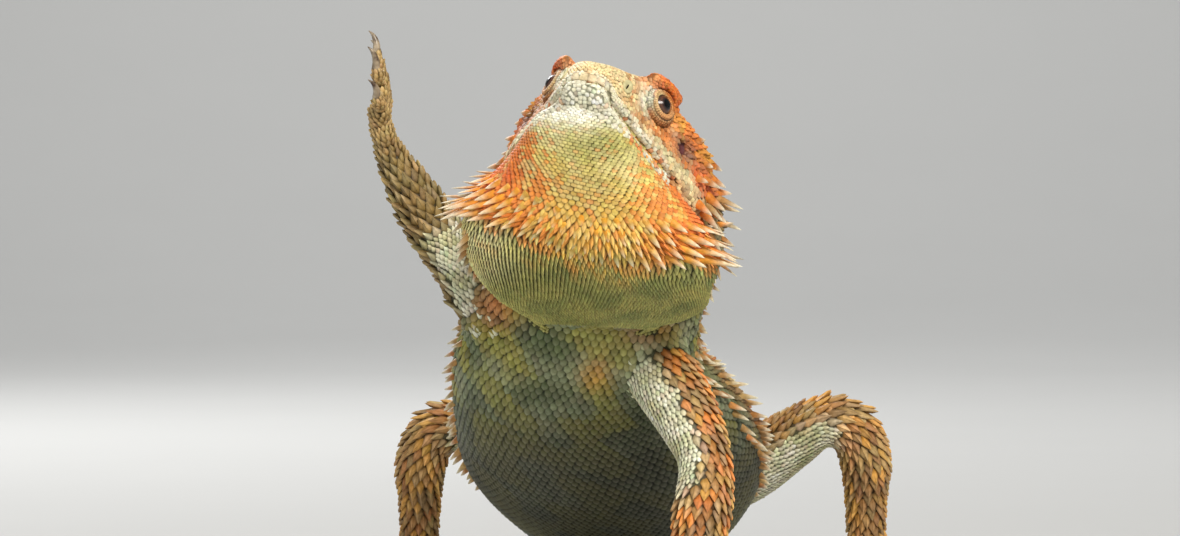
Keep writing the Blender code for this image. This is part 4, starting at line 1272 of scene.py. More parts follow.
def group_property(name, description, group):
    return bpy.props.PointerProperty(name=name, description=description, type=group)


class DragonProps(bpy.types.PropertyGroup):
    """All settings of the dragon."""

    sizes: group_property("Sizes", "Sizes of skin and scales", DragonSizes)
    colours: group_property("Colours", "Colours of the markings", DragonColours)
    stage: group_property("Stage", "Floor, lights and camera", StageSettings)


def props():
    return bpy.context.scene.dragon


# ---------------------------------------------------------------- operators


class DRAGON_OT_skin(bpy.types.Operator):
    """Builds the one skin over neck, head, trunk and limbs"""

    bl_idname = "dragon.skin"
    bl_label = "Skin"

    def execute(self, context):
        skin = build_skin()
        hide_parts(*FLESH_NODES)
        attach(skin, "root")
        return {"FINISHED"}


class DRAGON_OT_eyes(bpy.types.Operator):
    """Makes the two eyeballs with a raised cornea"""

    bl_idname = "dragon.eyes"
    bl_label = "Eyes"

    def execute(self, context):
        for name, (_, mirror) in zip(("left", "right"), HANDS):
            centre, axis = eye_of(mirror)
            shape = bmesh.new()
            for vert in ball(shape, centre, (EYE_RADIUS - 0.12,) * 3, axis, 40, 28):
                off = np.array(vert.co) - centre
                height = off @ axis
                if height > 0:
                    flat = np.linalg.norm(off - height * axis)
                    vert.co += Vector(axis * 0.35 * float(smooth(flat, 2.2, 1.0)))
            eye = smooth_shaded(as_object("eyeball_" + name, shape))
            dress(eye, eye_material("wet_eye_" + name, (centre + SHIFT) * MM, axis))
            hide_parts("eye_" + name)
        return {"FINISHED"}


def lid_paint(angle, reach):
    """The lids' colour by angle round the eye and reach from 0 at the opening to 1 at the rim."""
    c = props().colours
    front = smooth(-np.cos(angle), -0.2, 0.8)
    top = layered(
        ground(c.orange, angle),
        (c.peach, 0.75 * front + 0.25 * (1 - reach)),
        (c.red_orange, smooth(reach, 0.45, 0.75) * 0.7),
    )
    low = layered(
        ground(c.orange, angle),
        (c.peach, 0.40 + 0.5 * front),
        # Painted shade: a darker band in the crease of the lower lid's fold.
        (c.painted_lid_fold_shade, 0.95 * np.exp(-(((reach - FOLD_AT) / 0.13) ** 2))),
        (c.orange_brown, smooth(reach, 0.8, 0.95)),
    )
    front = front * smooth(reach, 0.55, 0.8) * smooth(np.abs(np.sin(angle)), 0.9, 0.4)
    upper = smooth(np.sin(angle), -0.15, 0.25)
    return layered(low, (top, upper), (np.array(c.lip_white) * 0.85, front))


class DRAGON_OT_lids(bpy.types.Operator):
    """Makes the lids' folds and their rows of beads"""

    bl_idname = "dragon.lids"
    bl_label = "Lids"

    def execute(self, context):
        shape = bmesh.new()
        rows, looks, paint = [], [], []
        draw = np.random.default_rng(60)
        around = circle(48)
        table = np.array(LID_PROFILE[1:-1])
        for hand, mirror in HANDS:
            centre, axis = eye_of(mirror)
            up = HEAD @ np.array([0.0, -0.12, 1.0])
            up = unit(up - axis * (up @ axis))
            across = np.cross(up, axis) * hand

            def on_lid(angle, wide, high, out, reach):
                """Places on the lids; the lower lid sinks in a fold."""
                fold = smooth(-np.sin(angle), 0.1, 0.6) * np.exp(-(((reach - FOLD_AT) / 0.12) ** 2))
                parts = ((np.cos(angle) * wide, across), (np.sin(angle) * high, up), (out - 0.5 * fold, axis))
                return centre + sum(np.multiply.outer(size, way) for size, way in parts)

            def bead_at(angle, reach):
                return on_lid(angle, *(np.interp(reach, table[:, 3], table[:, k]) for k in range(3)), reach)

            ring_tube(shape, [on_lid(around, *row) for row in LID_PROFILE], first_cap=False, last_cap=False)
            for k, row in enumerate(LID_PROFILE):
                # Painted shade: the lids' skin between the beads is darkened to 0.62, and the ring at the
                # opening's inner edge to 0.25.
                paint.append(lid_paint(around, np.full(len(around), row[3])) * (0.25 if k == 0 else 0.62))
            for k, reach in enumerate((0.08, 0.22, 0.36, 0.50, 0.64, 0.78, 0.90, 1.0)):
                size = 0.50 + 0.26 * reach
                number = int(2 * math.pi * np.interp(reach, table[:, 3], table[:, 0]) / (size * 0.98))
                for j in range(number):
                    angle = 2 * math.pi * (j + 0.5 * (k % 2) + draw.uniform(-0.12, 0.12)) / number
                    band = math.sin(angle) > -0.05 and 0.15 < reach < 0.45
                    fold = math.sin(angle) < -0.25 and 0.55 < reach < 0.7
                    if band or fold:
                        continue
                    spread = reach + draw.uniform(-0.02, 0.02)
                    place = bead_at(angle, spread)
                    turned, further = bead_at(angle + 0.05, spread), bead_at(angle, spread + 0.03)
                    normal = np.cross(turned - place, further - place)
                    normal = unit(normal * np.sign(normal @ (place - centre)))
                    way = unit(place - centre - axis * ((place - centre) @ axis))
                    uv = (0.80 + 0.003 * j, 0.90 + 0.005 * k + 0.045 * (hand > 0))
                    grown = size * draw.uniform(0.85, 1.12)
                    rows.append((place, normal, way, grown, grown, reach, angle, uv))
                    looks.append(lid_paint(np.array([angle]), np.array([reach]))[0])
        bmesh.ops.recalc_face_normals(shape, faces=shape.faces)
        lids = smooth_shaded(as_object("lids", shape))
        paint_points(lids.data, np.vstack(paint))
        dress(lids, coat_material("head_skin"))
        spots = gathered(rows)
        spots = pointed_along(spots, spots["way"])
        size = spots["gap"]
        finish_scales(
            "lid_beads", "head_skin", dome_shapes(), spots, varied(np.array(looks), 61, 0.12), size, size,
            size * 0.34, 4.0, 0.12, 1.15, 0.4,
        )
        return {"FINISHED"}


class DRAGON_OT_nostrils(bpy.types.Operator):
    """Makes the pale nasal shield round each nostril"""

    bl_idname = "dragon.nostrils"
    bl_label = "Nostrils"

    def execute(self, context):
        c = props().colours
        turn = circle(28)
        shield = mixed(np.array([c.cream]), c.olive, 0.12) * 0.9
        shape = bmesh.new()
        paint = []
        for _, mirror in HANDS:
            axis = HEAD @ (NOSTRIL_AXIS * mirror)
            centre = in_head(NOSTRIL * mirror) + axis * 1.35
            up = HEAD @ np.array([0.0, 0.35, 1.0])
            up = unit(up - axis * (up @ axis))
            across = np.cross(up, axis)
            rings = []
            for wide, high, out, slide, hole in NOSTRIL_PROFILE:
                ring = np.outer(np.cos(turn) * 1.45 * wide, across) + np.outer(np.sin(turn) * 1.95 * high, up)
                rings.append(centre + ring + axis * out - up * slide)
                # Painted shade: the rings inside the nostril's hole are near black, for the shade in the
                # hole.
                paint.append(ground(tint(36, 24, 18) if hole else shield[0], turn))
            ring_tube(shape, rings, first_cap=False)
        bmesh.ops.recalc_face_normals(shape, faces=shape.faces)
        obj = smooth_shaded(as_object("nostrils", shape))
        paint_points(obj.data, np.vstack(paint))
        dress(obj, coat_material("head_skin"))
        return {"FINISHED"}


class DRAGON_OT_lips(bpy.types.Operator):
    """Sets the shields along both lips and the white tubercles under them"""

    bl_idname = "dragon.lips"
    bl_label = "Lips"

    def execute(self, context):
        c = props().colours
        for name, offset, first, high, front_gap, seed in (
            ("upper", 0.9, 1.05, 1.3, 2.1, 63), ("lower", -0.85, 0.6, 1.25, 1.15, 64),
        ):
            spots = along_lip(offset, first, (front_gap, 1.4, 1.4), 62)
            draw = np.random.default_rng(seed)
            count = len(spots["u"])
            lone = smooth(draw.uniform(0, 1, count), 0.66, 0.72) * smooth(spots["share"], 0.15, 0.3)
            peach = smooth(spots["share"], 0.12, 0.05) * (name == "upper")
            colours = layered(ground(c.lip_white, lone), (c.orange, 0.75 * lone), (c.peach, 0.6 * peach))
            finish_scales(
                name + "_lip_shields", "head_skin", plate_shapes(), spots, varied(colours, 65, 0.05),
                high * draw.uniform(0.9, 1.1, count) * (1.0 + 0.5 * peach), spots["gap"] * 1.05,
                0.24 - 0.08 * peach, 0.0, 0.0, 1.05, 0.42,
            )
        spots = along_lip(-2.35, 8.5, (1.5, 1.9, 1.8), 66)
        draw = np.random.default_rng(67)
        size = spots["gap"] * draw.uniform(0.66, 1.04, len(spots["u"]))
        lone = smooth(draw.uniform(0, 1, len(size)), 0.62, 0.67) * smooth(spots["share"], 0.2, 0.35)
        colours = varied(mixed(ground(c.lip_white, size), c.orange, 0.9 * lone), 68, 0.07)
        finish_scales(
            "jaw_tubercles", "head_skin", dome_shapes(), spots, colours, size, size * 1.15, 0.5, 3.0, 0.1,
            1.08, 0.4,
        )
        return {"FINISHED"}


class DRAGON_OT_head_scales(bpy.types.Operator):
    """Sets the pebbled scales of the head, larger and keeled on the temples"""

    bl_idname = "dragon.head_scales"
    bl_label = "Head scales"

    def execute(self, context):
        size = props().sizes.head_scale / MM

        def widths(share, u):
            back = share * SKULL_LENGTH
            top = smooth(np.abs(u - 0.5), 0.34, 0.16)
            low = smooth(np.abs(u - 0.5), 0.28, 0.32)
            base = size * (0.70 + 0.42 * smooth(back, 2.0, 14.0))
            base = base * (1.0 + 0.55 * smooth(back, 23.0, 33.0) * (1 - low))
            return base * (1.0 + 0.18 * top) * (1 - 0.15 * low)

        def steps(share):
            back = share * SKULL_LENGTH
            return size * float(0.66 + 0.34 * smooth(back, 3.0, 16.0) + 0.36 * smooth(back, 24.0, 36.0))

        turn = circle(20)
        at = 0.98 * np.cos(np.linspace(math.pi, 0.0, 18))
        side = np.array([1.0, 0.0, 0.0])
        for name, (hand, mirror) in zip(("left", "right"), HANDS):
            axis = unit(BROW_AXIS * mirror)
            up = unit(np.cross(side, axis))
            round_it = BROW_RADIUS * (np.outer(np.cos(turn), side) + np.outer(np.sin(turn), up))
            rings = BROW * mirror + axis * (BROW_HALF * at)[:, None, None]
            rings = rings + round_it * np.sqrt(1 - at**2)[:, None, None]
            high = 0.90 + 0.04 * (hand > 0)
            spots = seated(lattice(
                in_head(rings), lambda share, u: 0.92, lambda share: 0.80, 58, loose=0.12,
                atlas=(0.88, high, 0.98, high + 0.03), span=(0.08, 0.96),
            ), reach=1.6)
            finish_scales(
                "brow_scales_" + name, "head_skin", plate_shapes(), spots,
                varied(head_colours(spots["place"], 59), 60, 0.14), spots["gap"], spots["step"] * 1.2, 0.20,
                6.0, 0.35, 1.15, 0.6,
            )
        spots = lattice(skull_rings(), widths, steps, 64, loose=0.20, atlas=(0.02, 0.60, 0.30, 0.98))
        spots = seated(spots, reach=3.2)
        h = to_head(spots["place"])
        keep = (h[:, 2] > mouth_line(h[:, 1]) - 1.3) | (h[:, 1] > 15.0)
        spots, h = picked(spots, keep), h[keep]
        h[:, 0] = np.abs(h[:, 0])
        spots = pointed_along(spots, spots["way"])
        under = smooth(h[:, 2] - mouth_line(h[:, 1]), -0.3, -1.5)
        orbit = np.exp(-((norms(h - EYE_CENTRE - 4.0 * EYE_AXIS) / 5.5) ** 4))
        temple = smooth(h[:, 1], 22.0, 30.0) * smooth(h[:, 2], 4.0, 8.0)
        spiky = np.clip(0.10 + 0.85 * temple + 0.2 * orbit - under, 0.0, 1.0)
        shrink = 1.0 - 0.22 * orbit
        finish_scales(
            "head_scales", "head_skin", plate_shapes(), spots,
            varied(head_colours(spots["place"], 65), 66, 0.12), spots["gap"] * 1.03 * shrink,
            spots["step"] * (1.14 + 0.4 * spiky) * shrink,
            0.22 + 0.36 * spiky - 0.03 * under, 6.0 + 12.0 * spiky, spiky, 1.18, 0.6,
        )
        return {"FINISHED"}


class DRAGON_OT_throat_scales(bpy.types.Operator):
    """Sets the rows of the throat, longer towards the fringe, and the fine scales of the pouch"""

    bl_idname = "dragon.throat_scales"
    bl_label = "Throat scales"

    def execute(self, context):
        size = props().sizes.throat_scale / MM
        shares = (0.0, 0.15, 0.35, 0.52, 0.60, 0.65, 0.80, 1.0)
        widths = (0.76, 0.84, 1.02, 1.24, 1.22, 0.74, 0.60, 0.48)
        steps = (0.58, 0.64, 0.76, 0.96, 1.00, 0.70, 0.58, 0.46)
        spots = seated(lattice(
            pouch_rings(), lambda share, u: size * np.interp(share, shares, widths),
            lambda share: size * float(np.interp(share, shares, steps)), 71, loose=0.07,
            atlas=(0.32, 0.60, 0.58, 0.98), span=(0.035, 1.0),
        ), reach=2.6)
        p = spots["place"]
        above = p[:, 2] - np.interp(p[:, 0], FRINGE_X, FRINGE_Z)
        lower = smooth(above, 0.5, -1.5)
        upper = (1 - lower)[:, None]
        spots = pointed_along(spots, throat_way(p) * upper + spots["way"] * (1 - upper))
        at_sides = smooth(np.abs(p[:, 0] - 1.0), 16.0, 26.0) * smooth(above, 20.0, 12.0)
        grown = np.maximum(smooth(above, 12.0, 0.5), 0.8 * at_sides) * (1 - lower)
        colours = varied(throat_colours(p, 72), 73, 0.10)
        wide = spots["gap"] * (1.07 - 0.09 * grown - 0.15 * lower)
        long = spots["step"] * (1.24 + 0.85 * grown + 0.26 * lower)
        high = 0.27 + 0.34 * grown + 0.02 * lower
        lift = 10.0 + 7.0 * grown + 1.0 * lower
        blend = np.clip(1.1 * grown + 0.85 * lower, 0.0, 1.0)
        for name, keep, pale in (("throat_scales", lower < 0.5, 1.36), ("pouch_scales", lower >= 0.5, 1.7)):
            finish_scales(
                name, "beard_skin", plate_shapes(), picked(spots, keep), colours[keep], wide[keep],
                long[keep], high[keep], lift[keep], blend[keep], pale, 0.72,
            )
        return {"FINISHED"}


def throat_way(p):
    """Down the throat in the middle and out to the sides, as the beard's scales lie."""
    x = p[:, 0] - 1.5
    down = -(1.0 - 0.82 * smooth(np.abs(x), 8.0, 31.0))
    return np.stack([x / 16.0, 0.05 + 0 * x, down], axis=1)


class DRAGON_OT_beard_spines(bpy.types.Operator):
    """Sets the rows of long spines along the beard's fringe"""

    bl_idname = "dragon.beard_spines"
    bl_label = "Beard spines"

    def execute(self, context):
        c = props().colours
        longest = props().sizes.spine_length / MM
        draw = np.random.default_rng(81)
        side, behind = slice_axes(13.0, 10.0)
        rows = []
        for row, (above, scale, count) in enumerate(BEARD_ROWS):
            for k in range(count):
                angle = 224.0 * (k + 0.5 * (row % 2) + draw.uniform(-0.15, 0.15)) / (count - 1)
                angle = math.radians(angle - 112.0)
                out = side * math.sin(angle) - behind * math.cos(angle)
                level = float(np.interp(31.0 * math.sin(angle), FRINGE_X, FRINGE_Z)) + above
                flat = Vector((out[0], out[1], 0.0)).normalized()
                found, normal, _, distance = Skin.tree.ray_cast(Vector((0.0, -13.5, level)), flat)
                if found is None or distance > 40.0:
                    continue
                share = math.sin(angle) ** 2
                gap = (2.25 + 0.25 * share) * draw.uniform(0.88, 1.1)
                long = longest * (0.36 + 0.64 * share**1.6) * scale * draw.uniform(0.85, 1.15)
                uv = (0.34 + 0.005 * k, 0.52 + 0.012 * row)
                rows.append((found, normal, (0, 0, -1), gap, long, share, scale, uv))
        spots = gathered(rows)
        spots = pointed_along(spots, throat_way(spots["place"]))
        share, mix = spots["share"], draw.uniform(0, 1, len(rows))
        colours = layered(
            ground(c.orange, rows), (c.golden, 0.35 + 0.65 * mix), (c.red_orange, 0.35 * share * (mix > 0.5))
        )
        low = (share < 0.35) * (0.75 - 0.9 * np.abs(mix - 0.5))
        low = low * np.interp(spots["u"], (0.66, 0.84, 0.92, 1.0), (0.0, 0.1, 0.8, 0.4))
        colours = layered(
            varied(colours, 82, 0.1),
            (c.cream_yellow, 0.6 * (1 - share) * (mix < 0.6)),
            (np.array(c.pouch_olive) * 1.3, low),
        )
        tips = mixed(np.clip(colours * 1.25, 0, 1), c.lip_white, 0.4 + 0.6 * share)
        obj = stamped(
            "beard_spines", spine_shapes(), spots, spots["gap"], spots["step"], spots["gap"] * 0.58,
            11.0 + 30.0 * share**1.5, 0.12, colours, tips, 0.0,
        )
        dress(obj, coat_material("beard_skin"))
        return {"FINISHED"}


class DRAGON_OT_body_scales(bpy.types.Operator):
    """Sets the rows of scales round the neck, torso and tail"""

    bl_idname = "dragon.body_scales"
    bl_label = "Body scales"

    def execute(self, context):
        size = props().sizes.belly_scale / MM
        total = spline(TRUNK)[1][-1]
        cut = TORSO_END / total
        rings = rings_of(TRUNK, (1, 0, 0), 150, 72)

        def finer(share):
            """How much smaller the scales are towards the neck."""
            return 1.0 - 0.26 * float(smooth(share * total, 36.0, 16.0))

        spots = seated(lattice(
            rings, lambda share, u: size * (1.0 - 0.14 * dorsal_part(u, -0.25, 0.25)) * finer(share),
            lambda share: size * 0.80 * finer(share), 91, loose=0.08, atlas=(0.02, 0.02, 0.50, 0.48),
            span=(0.0, cut),
        ), reach=2.6)
        p, u = spots["place"], spots["u"]
        dorsal = dorsal_part(u, -0.2, 0.3)
        colours = varied(body_colours(p, u), 93, 0.12)
        big = (np.random.default_rng(94).uniform(0, 1, len(p)) < 0.10) & (dorsal > 0.5)
        spiky = np.clip(0.35 + 0.45 * dorsal + 0.3 * big, 0.0, 1.0)
        part = np.digitize(spots["share"] * total, (42.0, 82.0, 124.0))
        for k, name in enumerate(("neck_scales", "chest_scales", "belly_scales", "rump_scales")):
            s, on = picked(spots, part == k), part == k
            finish_scales(
                name, "body_skin", plate_shapes(), s, colours[on], s["gap"] * (1.02 + 0.25 * big[on]),
                s["step"] * (1.34 + 0.25 * dorsal[on] + 0.2 * big[on]),
                0.30 + 0.22 * dorsal[on] + 0.5 * big[on], 7.0 + 6.0 * dorsal[on], spiky[on], 1.22, 0.62,
            )
        spots = seated(lattice(
            rings, lambda share, u: size * (1.0 - 0.45 * float(smooth(share, cut, 1.0))),
            lambda share: size * (1.05 - 0.3 * float(smooth(share, cut, 1.0))), 95, loose=0.05,
            atlas=(0.02, 0.50, 0.30, 0.58), span=(cut, 0.998),
        ), reach=2.4)
        colours = varied(tail_colours(spots["place"], spots["u"], spots["share"]), 96, 0.12)
        finish_scales(
            "tail_scales", "tail_skin", plate_shapes(), spots, colours, spots["gap"] * 1.02,
            spots["step"] * 1.45, 0.48, 9.0, 0.75, 1.25, 0.6,
        )
        return {"FINISHED"}


class DRAGON_OT_limb_scales(bpy.types.Operator):
    """Sets keeled scales on the limbs' outer sides, fine ones inside, and plates on the digits"""

    bl_idname = "dragon.limb_scales"
    bl_label = "Limb scales"

    def execute(self, context):
        for number, limb in enumerate(LIMBS):
            rows, last_side = LIMBS[limb][:2]
            rings = rings_of(rows, last_side, 60, 40)
            for inside in (False, True):
                self.cover(rings, number, limb, inside)
            parts, colours = [], []
            for k, (path, thick, _, side) in enumerate(digit_paths(limb)):
                across, high = 0.60 + 0.08 * k, 0.50 + 0.09 * number
                part = seated(lattice(
                    rings_of(path_rows(path, thick), side, 24, 20), lambda share, u: 1.35, lambda share: 1.15,
                    110 + k, loose=0.06, atlas=(across, high, across + 0.06, high + 0.07), span=(0.12, 0.97),
                ), reach=1.4)
                plain = np.zeros(len(part["u"]))
                parts.append(part)
                colours.append(limb_colours(part["place"], limb, plain, plain + 1))
            spots = {key: np.concatenate([part[key] for part in parts]) for key in parts[0]}
            finish_scales(
                limb + "_digit_plates", "limb_skin", plate_shapes(), spots,
                varied(np.concatenate(colours), 120 + number, 0.12), 1.38, 1.6, 0.34, 7.0, 0.45, 1.25, 0.55,
            )
        return {"FINISHED"}

    def cover(self, rings, number, limb, inside):
        """Sets the outer or the inner scales of one limb."""
        small = 1.0 if inside else 0.0
        size = props().sizes.limb_scale / MM * (0.52 if inside else 1.0)
        column, low, high = 0.52 + 0.12 * number, *((0.26, 0.48) if inside else (0.02, 0.25))
        spots = lattice(
            rings,
            lambda share, u: size * (1.0 - 0.42 * float(smooth(share, 0.72, 0.9))),
            lambda share: size * 0.84 * (1.0 - 0.42 * float(smooth(share, 0.72, 0.9))),
            101 + number, loose=0.10, atlas=(column, low, column + 0.11, high),
        )
        inner_at, reach = LIMBS[limb][6:8]
        round_by = np.abs((spots["u"] - inner_at + 0.5) % 1.0 - 0.5)
        inner = smooth(round_by, 0.36, 0.14) * smooth(spots["share"], reach + 0.16, reach - 0.06)
        inner = np.clip(inner + 0.25 * (patchy(spots["place"], 6.0, 46) - 0.5), 0.0, 1.0)
        keep = ((inner > 0.5) == inside) & (spots["share"] > BARE_ROOTS.get(limb, 0.0))
        spots = seated(picked(dict(spots, inner=inner), keep), reach=2.2)
        inner, share = spots.pop("inner"), spots["share"]
        colours = limb_colours(spots["place"], limb, smooth(inner, 0.12, 0.75), share)
        colours = varied(colours, 105 + number, 0.13)
        hand = smooth(share, 0.78, 0.9)
        near = smooth(inner, 0.1, 0.5) * (1 - small)
        finish_scales(
            limb + ("_inner_scales" if inside else "_scales"), "limb_skin", plate_shapes(), spots, colours,
            spots["gap"] * (1.04 - 0.16 * near), spots["step"] * (1.45 - 0.2 * small - 0.2 * near),
            0.66 - 0.32 * small - 0.2 * hand - 0.2 * near, 10.0 - 4.0 * small,
            0.97 - 0.3 * small - 0.2 * hand, 1.25, 0.62,
        )


class DRAGON_OT_side_spines(bpy.types.Operator):
    """Sets the spines of the head's back, neck and flanks"""

    bl_idname = "dragon.side_spines"
    bl_label = "Side spines"

    def execute(self, context):
        c = props().colours
        draw = np.random.default_rng(131)
        rows = []

        def add(start, out, way, wide, long, tone, uv):
            found, normal, _, _ = Skin.tree.ray_cast(Vector(start), Vector(out).normalized())
            if found is not None and found.z > 1.0:
                rows.append((found, normal, way, wide, long, tone, 0.0, uv))

        back = HEAD @ np.array([0.0, 1.0, 0.0])
        total = spline(TRUNK)[1][-1]
        for hand, _ in HANDS:
            for at, first, last, short, long, count in HEAD_SPINE_ROWS:
                for k in range(count):
                    share = k / max(count - 1, 1)
                    angle = math.radians(first + (last - first) * share + draw.uniform(-2, 2))
                    out = HEAD @ np.array([hand * math.cos(angle), 0.0, math.sin(angle)])
                    start = in_head((0.0, at - 2.0 * share + draw.uniform(-0.5, 0.5), 1.0))
                    length = (short + (long - short) * share) * draw.uniform(0.85, 1.15)
                    uv = (0.62 + 0.004 * k, 0.86 + 0.004 * (at % 5))
                    add(start, out, back, 2.1 + 0.17 * length, length, 0.3, uv)
            for row, (tilt, scale, count, start_at, end_at) in enumerate(TRUNK_SPINE_ROWS):
                for k in range(count):
                    share = (k + 0.5 * (row % 2) + draw.uniform(-0.2, 0.2)) / count
                    at = float(np.clip(start_at + (end_at - start_at) * share, 0.0, total))
                    centre, side, up, _ = sections(TRUNK, (1, 0, 0), [at])
                    level = math.radians(tilt + draw.uniform(-1.5, 1.5))
                    out = side[0] * hand * math.cos(level) + up[0] * math.sin(level)
                    flank = 3.0 + 2.2 * math.sin(math.pi * min(max(share, 0.0), 1.0))
                    length = (7.0 - 3.4 * share if at < 33.0 else flank) * scale * draw.uniform(0.8, 1.2)
                    way = np.cross(up[0], side[0]) + out * 0.2
                    uv = (0.04 + 0.004 * k, 0.49 + 0.001 * row)
                    add(centre[0], out, way, 1.75 + 0.12 * length, length, 0.6, uv)
        spots = gathered(rows)
        near_limb = np.zeros(len(rows), bool)
        for limb in LIMBS:
            for row in spline(LIMBS[limb][0])[0][::6]:
                near_limb |= norms(spots["place"] - row[:3]) < row[3] + 3.0
        spots = picked(spots, ~near_limb & ~bare(spots["place"]))
        spots = pointed_along(spots, spots["way"])
        head = spots["share"] < 0.5
        colours = layered(
            ground(c.tan, head), (c.orange_brown, draw.uniform(0, 0.8, len(head))), (c.orange, 0.65 * head)
        )
        colours = varied(colours, 132, 0.12)
        obj = stamped(
            "side_spines", spine_shapes(), spots, spots["gap"], spots["step"], spots["gap"] * 0.72,
            np.where(head, 38.0, 42.0), 0.10, colours, mixed(colours, c.lip_white, 0.9), 0.0,
        )
        dress(obj, coat_material("body_skin"))
        return {"FINISHED"}


class DRAGON_OT_claws(bpy.types.Operator):
    """Makes the twenty curved claws"""

    bl_idname = "dragon.claws"
    bl_label = "Claws"

    def execute(self, context):
        c = props().colours
        shape = bmesh.new()
        for limb in LIMBS:
            for _, _, claw, side in digit_paths(limb):
                rings = rings_of(path_rows(claw, (0.98, 0.86, 0.52, 0.10)), side, 12, 12)
                rings[..., 2] = np.maximum(rings[..., 2], 0.0)
                ring_tube(shape, rings)
        bmesh.ops.recalc_face_normals(shape, faces=shape.faces)
        claws = smooth_shaded(as_object("claws", shape))
        dress(claws, horn_material(c.claw_dark, c.claw_pale))
        return {"FINISHED"}


class DRAGON_OT_gaps(bpy.types.Operator):
    """Fills the places between the rows and gives the skin the scales' markings, darkened partly as painted
    shade in the gaps between the scales
    """

    bl_idname = "dragon.gaps"
    bl_label = "Fill gaps and paint the skin"

    def execute(self, context):
        mesh = bpy.data.objects["skin"].data
        self.fill(mesh)
        places = arrays_of(mesh)[0] / MM - SHIFT
        known = known_roots()
        near = np.array([known.find(place)[1] for place in places])
        head = to_head(places)
        on_face = smooth(head[:, 1], 30.0, 20.0) * smooth(head[:, 2], -12.0, -8.0)
        # Partly painted shade: the skin between the scales takes its scale's colour cut to about a sixth,
        # less on the face, for the darker seams and the shade in the gaps.
        paint = Skin.looks[near] * (np.array([0.17, 0.18, 0.15]) + 0.27 * on_face[:, None])
        for _, mirror in HANDS:
            ear = norms((head - EAR * mirror) / (5.0, 2.2, 2.7))
            paint = mixed(paint, tint(92, 48, 50), smooth(ear, 1.15, 0.7))
        groove = np.exp(-(((head[:, 2] - mouth_line(head[:, 1])) / 0.5) ** 2))
        groove *= (np.abs(head[:, 0]) < FACE_HALF_WIDTH) & (head[:, 1] < MOUTH_CORNER) & (head[:, 1] > -4)
        paint_points(mesh, mixed(paint, tint(178, 78, 34), 0.9 * groove))
        mesh.materials.clear()
        mesh.materials.append(scale_material("skin_between_scales", 0.55))
        return {"FINISHED"}

    def fill(self, mesh):
        """Sets small scales where none is near, in a random order of the skin's faces."""
        known = known_roots()
        centres, normals = (np.zeros(len(mesh.polygons) * 3) for _ in range(2))
        mesh.polygons.foreach_get("center", centres)
        mesh.polygons.foreach_get("normal", normals)
        centres, normals = centres.reshape(-1, 3) / MM - SHIFT, normals.reshape(-1, 3)
        closed = bare(centres) | (centres[:, 2] < 0.6)
        head = to_head(centres)
        tight = (head[:, 1] < 36.0) & (head[:, 2] > -11.0)
        draw = np.random.default_rng(141)
        cells, rows, looks = {}, [], []
        for i in draw.permutation(len(centres)):
            if closed[i]:
                continue
            place = centres[i]
            _, near, distance = known.find(place)
            size = 1.0 if tight[i] else min(Skin.sizes[near], 1.9)
            if distance < (0.58 if tight[i] else 0.74) * size + 0.12:
                continue
            key = (place // CELL).astype(int)
            around = (tuple(key + step) for step in itertools.product((-1, 0, 1), repeat=3))
            if any(np.linalg.norm(other - place) < 0.8 * size for k in around for other in cells.get(k, ())):
                continue
            cells.setdefault(tuple(key), []).append(place)
            uv = Skin.uvs[near] + draw.uniform(-0.003, 0.003, 2)
            rows.append((place, normals[i], Skin.along[near], size, size, 0, 0, uv))
            looks.append(Skin.looks[near])
        spots = gathered(rows)
        spots = pointed_along(spots, spots["way"])
        tight = spots["gap"] < 1.01
        finish_scales(
            "filling_scales", "body_skin", plate_shapes(), spots, varied(np.array(looks), 142, 0.12),
            spots["gap"] * 1.15, spots["gap"] * 1.2, np.where(tight, 0.24, 0.36), 8.0,
            np.where(tight, 0.05, 0.4), 1.2, 0.55,
        )


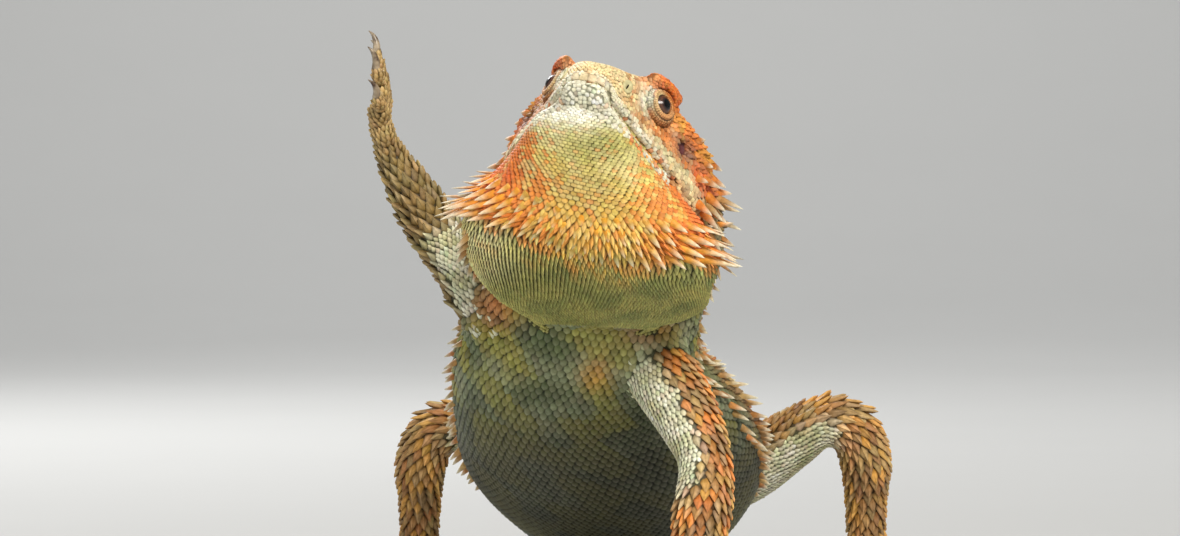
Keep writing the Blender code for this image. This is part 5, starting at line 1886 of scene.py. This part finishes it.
class DRAGON_OT_stage(bpy.types.Operator):
    """Sets the floor, the lights and the camera"""

    bl_idname = "dragon.stage"
    bl_label = "Stage"

    def execute(self, context):
        settings = props().stage
        shape = bmesh.new()
        profile = [(-3.0, 0.0), (1.6, 0.0), (2.2, 0.06), (2.6, 0.30), (2.8, 0.75), (2.85, 3.0)]
        made = [shape.verts.new((-5.0, y, z)) for y, z in profile]
        edges = [shape.edges.new(pair) for pair in zip(made, made[1:])]
        grown = bmesh.ops.extrude_edge_only(shape, edges=edges)
        moved = [g for g in grown["geom"] if isinstance(g, bmesh.types.BMVert)]
        bmesh.ops.translate(shape, vec=(10.0, 0.0, 0.0), verts=moved)
        bmesh.ops.recalc_face_normals(shape, faces=shape.faces)
        if sum(f.normal.z for f in shape.faces) < 0:
            bmesh.ops.reverse_faces(shape, faces=shape.faces)
        floor = smooth_shaded(linked("floor", mesh_of("floor", shape)))
        bend = floor.modifiers.new("round", "SUBSURF")
        bend.levels = bend.render_levels = 2
        floor.data.materials.append(floor_material())
        key, fill = settings.key_power, settings.fill_power
        model, wall = Vector((0.0, -0.12, 0.08)), Vector((0.0, 2.8, 0.4))
        white = (1.0, 1.0, 1.0)
        for name, place, size, power, target, colour in (
            ("key", (0.34, -1.10, 0.86), 0.5, key, model, (1.0, 0.965, 0.90)),
            ("fill", (-1.1, -0.9, 0.5), 1.1, fill, model, white),
            ("rim", (-0.55, 0.8, 0.9), 0.6, key * 0.7, model, white),
            ("backdrop", (0.0, 1.2, 1.9), 1.2, key * 1.8, wall, white),
        ):
            light = bpy.data.lights.new(name, "AREA")
            light.shape = "DISK"
            light.size, light.energy, light.color = size, power, colour
            lamp = linked(name, light)
            lamp.location = place
            lamp.rotation_euler = (target - Vector(place)).to_track_quat("-Z", "Y").to_euler()
        world = bpy.data.worlds.new("studio")
        world.use_nodes = True
        sky = world.node_tree.nodes["Background"]
        feed(world.node_tree, sky, {"Color": (0.88, 0.90, 0.92, 1), "Strength": 0.27})
        context.scene.world = world
        camera = bpy.data.cameras.new("camera")
        camera.lens, camera.sensor_width = settings.camera_lens, 36.0
        camera.clip_start, camera.clip_end = 0.05, 20.0
        holder = linked("camera", camera)
        holder.location = (np.array([0.0, -1000.0, 84.5]) + SHIFT) * MM
        holder.rotation_euler = (math.pi / 2, 0.0, 0.0)
        context.scene.camera = holder
        context.scene.view_settings.view_transform = "Standard"
        return {"FINISHED"}


class DRAGON_PT_panel(bpy.types.Panel):
    """Lists the dragon's pieces"""

    bl_idname = "DRAGON_PT_panel"
    bl_label = "Dragon"
    bl_space_type = "VIEW_3D"
    bl_region_type = "UI"
    bl_category = "Dragon"

    def draw(self, context):
        for group in (context.scene.dragon.sizes, context.scene.dragon.colours, context.scene.dragon.stage):
            box = self.layout.box()
            for name in group.__annotations__:
                box.prop(group, name)
        for operator in OPERATORS:
            self.layout.operator(operator.bl_idname)


OPERATORS = (
    DRAGON_OT_skin,
    DRAGON_OT_eyes,
    DRAGON_OT_lids,
    DRAGON_OT_nostrils,
    DRAGON_OT_lips,
    DRAGON_OT_throat_scales,
    DRAGON_OT_head_scales,
    DRAGON_OT_beard_spines,
    DRAGON_OT_body_scales,
    DRAGON_OT_limb_scales,
    DRAGON_OT_side_spines,
    DRAGON_OT_claws,
    DRAGON_OT_gaps,
    DRAGON_OT_stage,
)
CLASSES = (DragonSizes, DragonColours, StageSettings, DragonProps, *OPERATORS, DRAGON_PT_panel)


def register():
    for cls in CLASSES:
        bpy.utils.register_class(cls)
    bpy.types.Scene.dragon = group_property("Dragon", "The dragon's settings", DragonProps)


def unregister():
    del bpy.types.Scene.dragon
    for cls in reversed(CLASSES):
        bpy.utils.unregister_class(cls)


def main():
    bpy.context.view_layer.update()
    register()
    for operator in OPERATORS:
        group, name = operator.bl_idname.split(".")
        getattr(getattr(bpy.ops, group), name)()


if __name__ == "__main__":
    main()
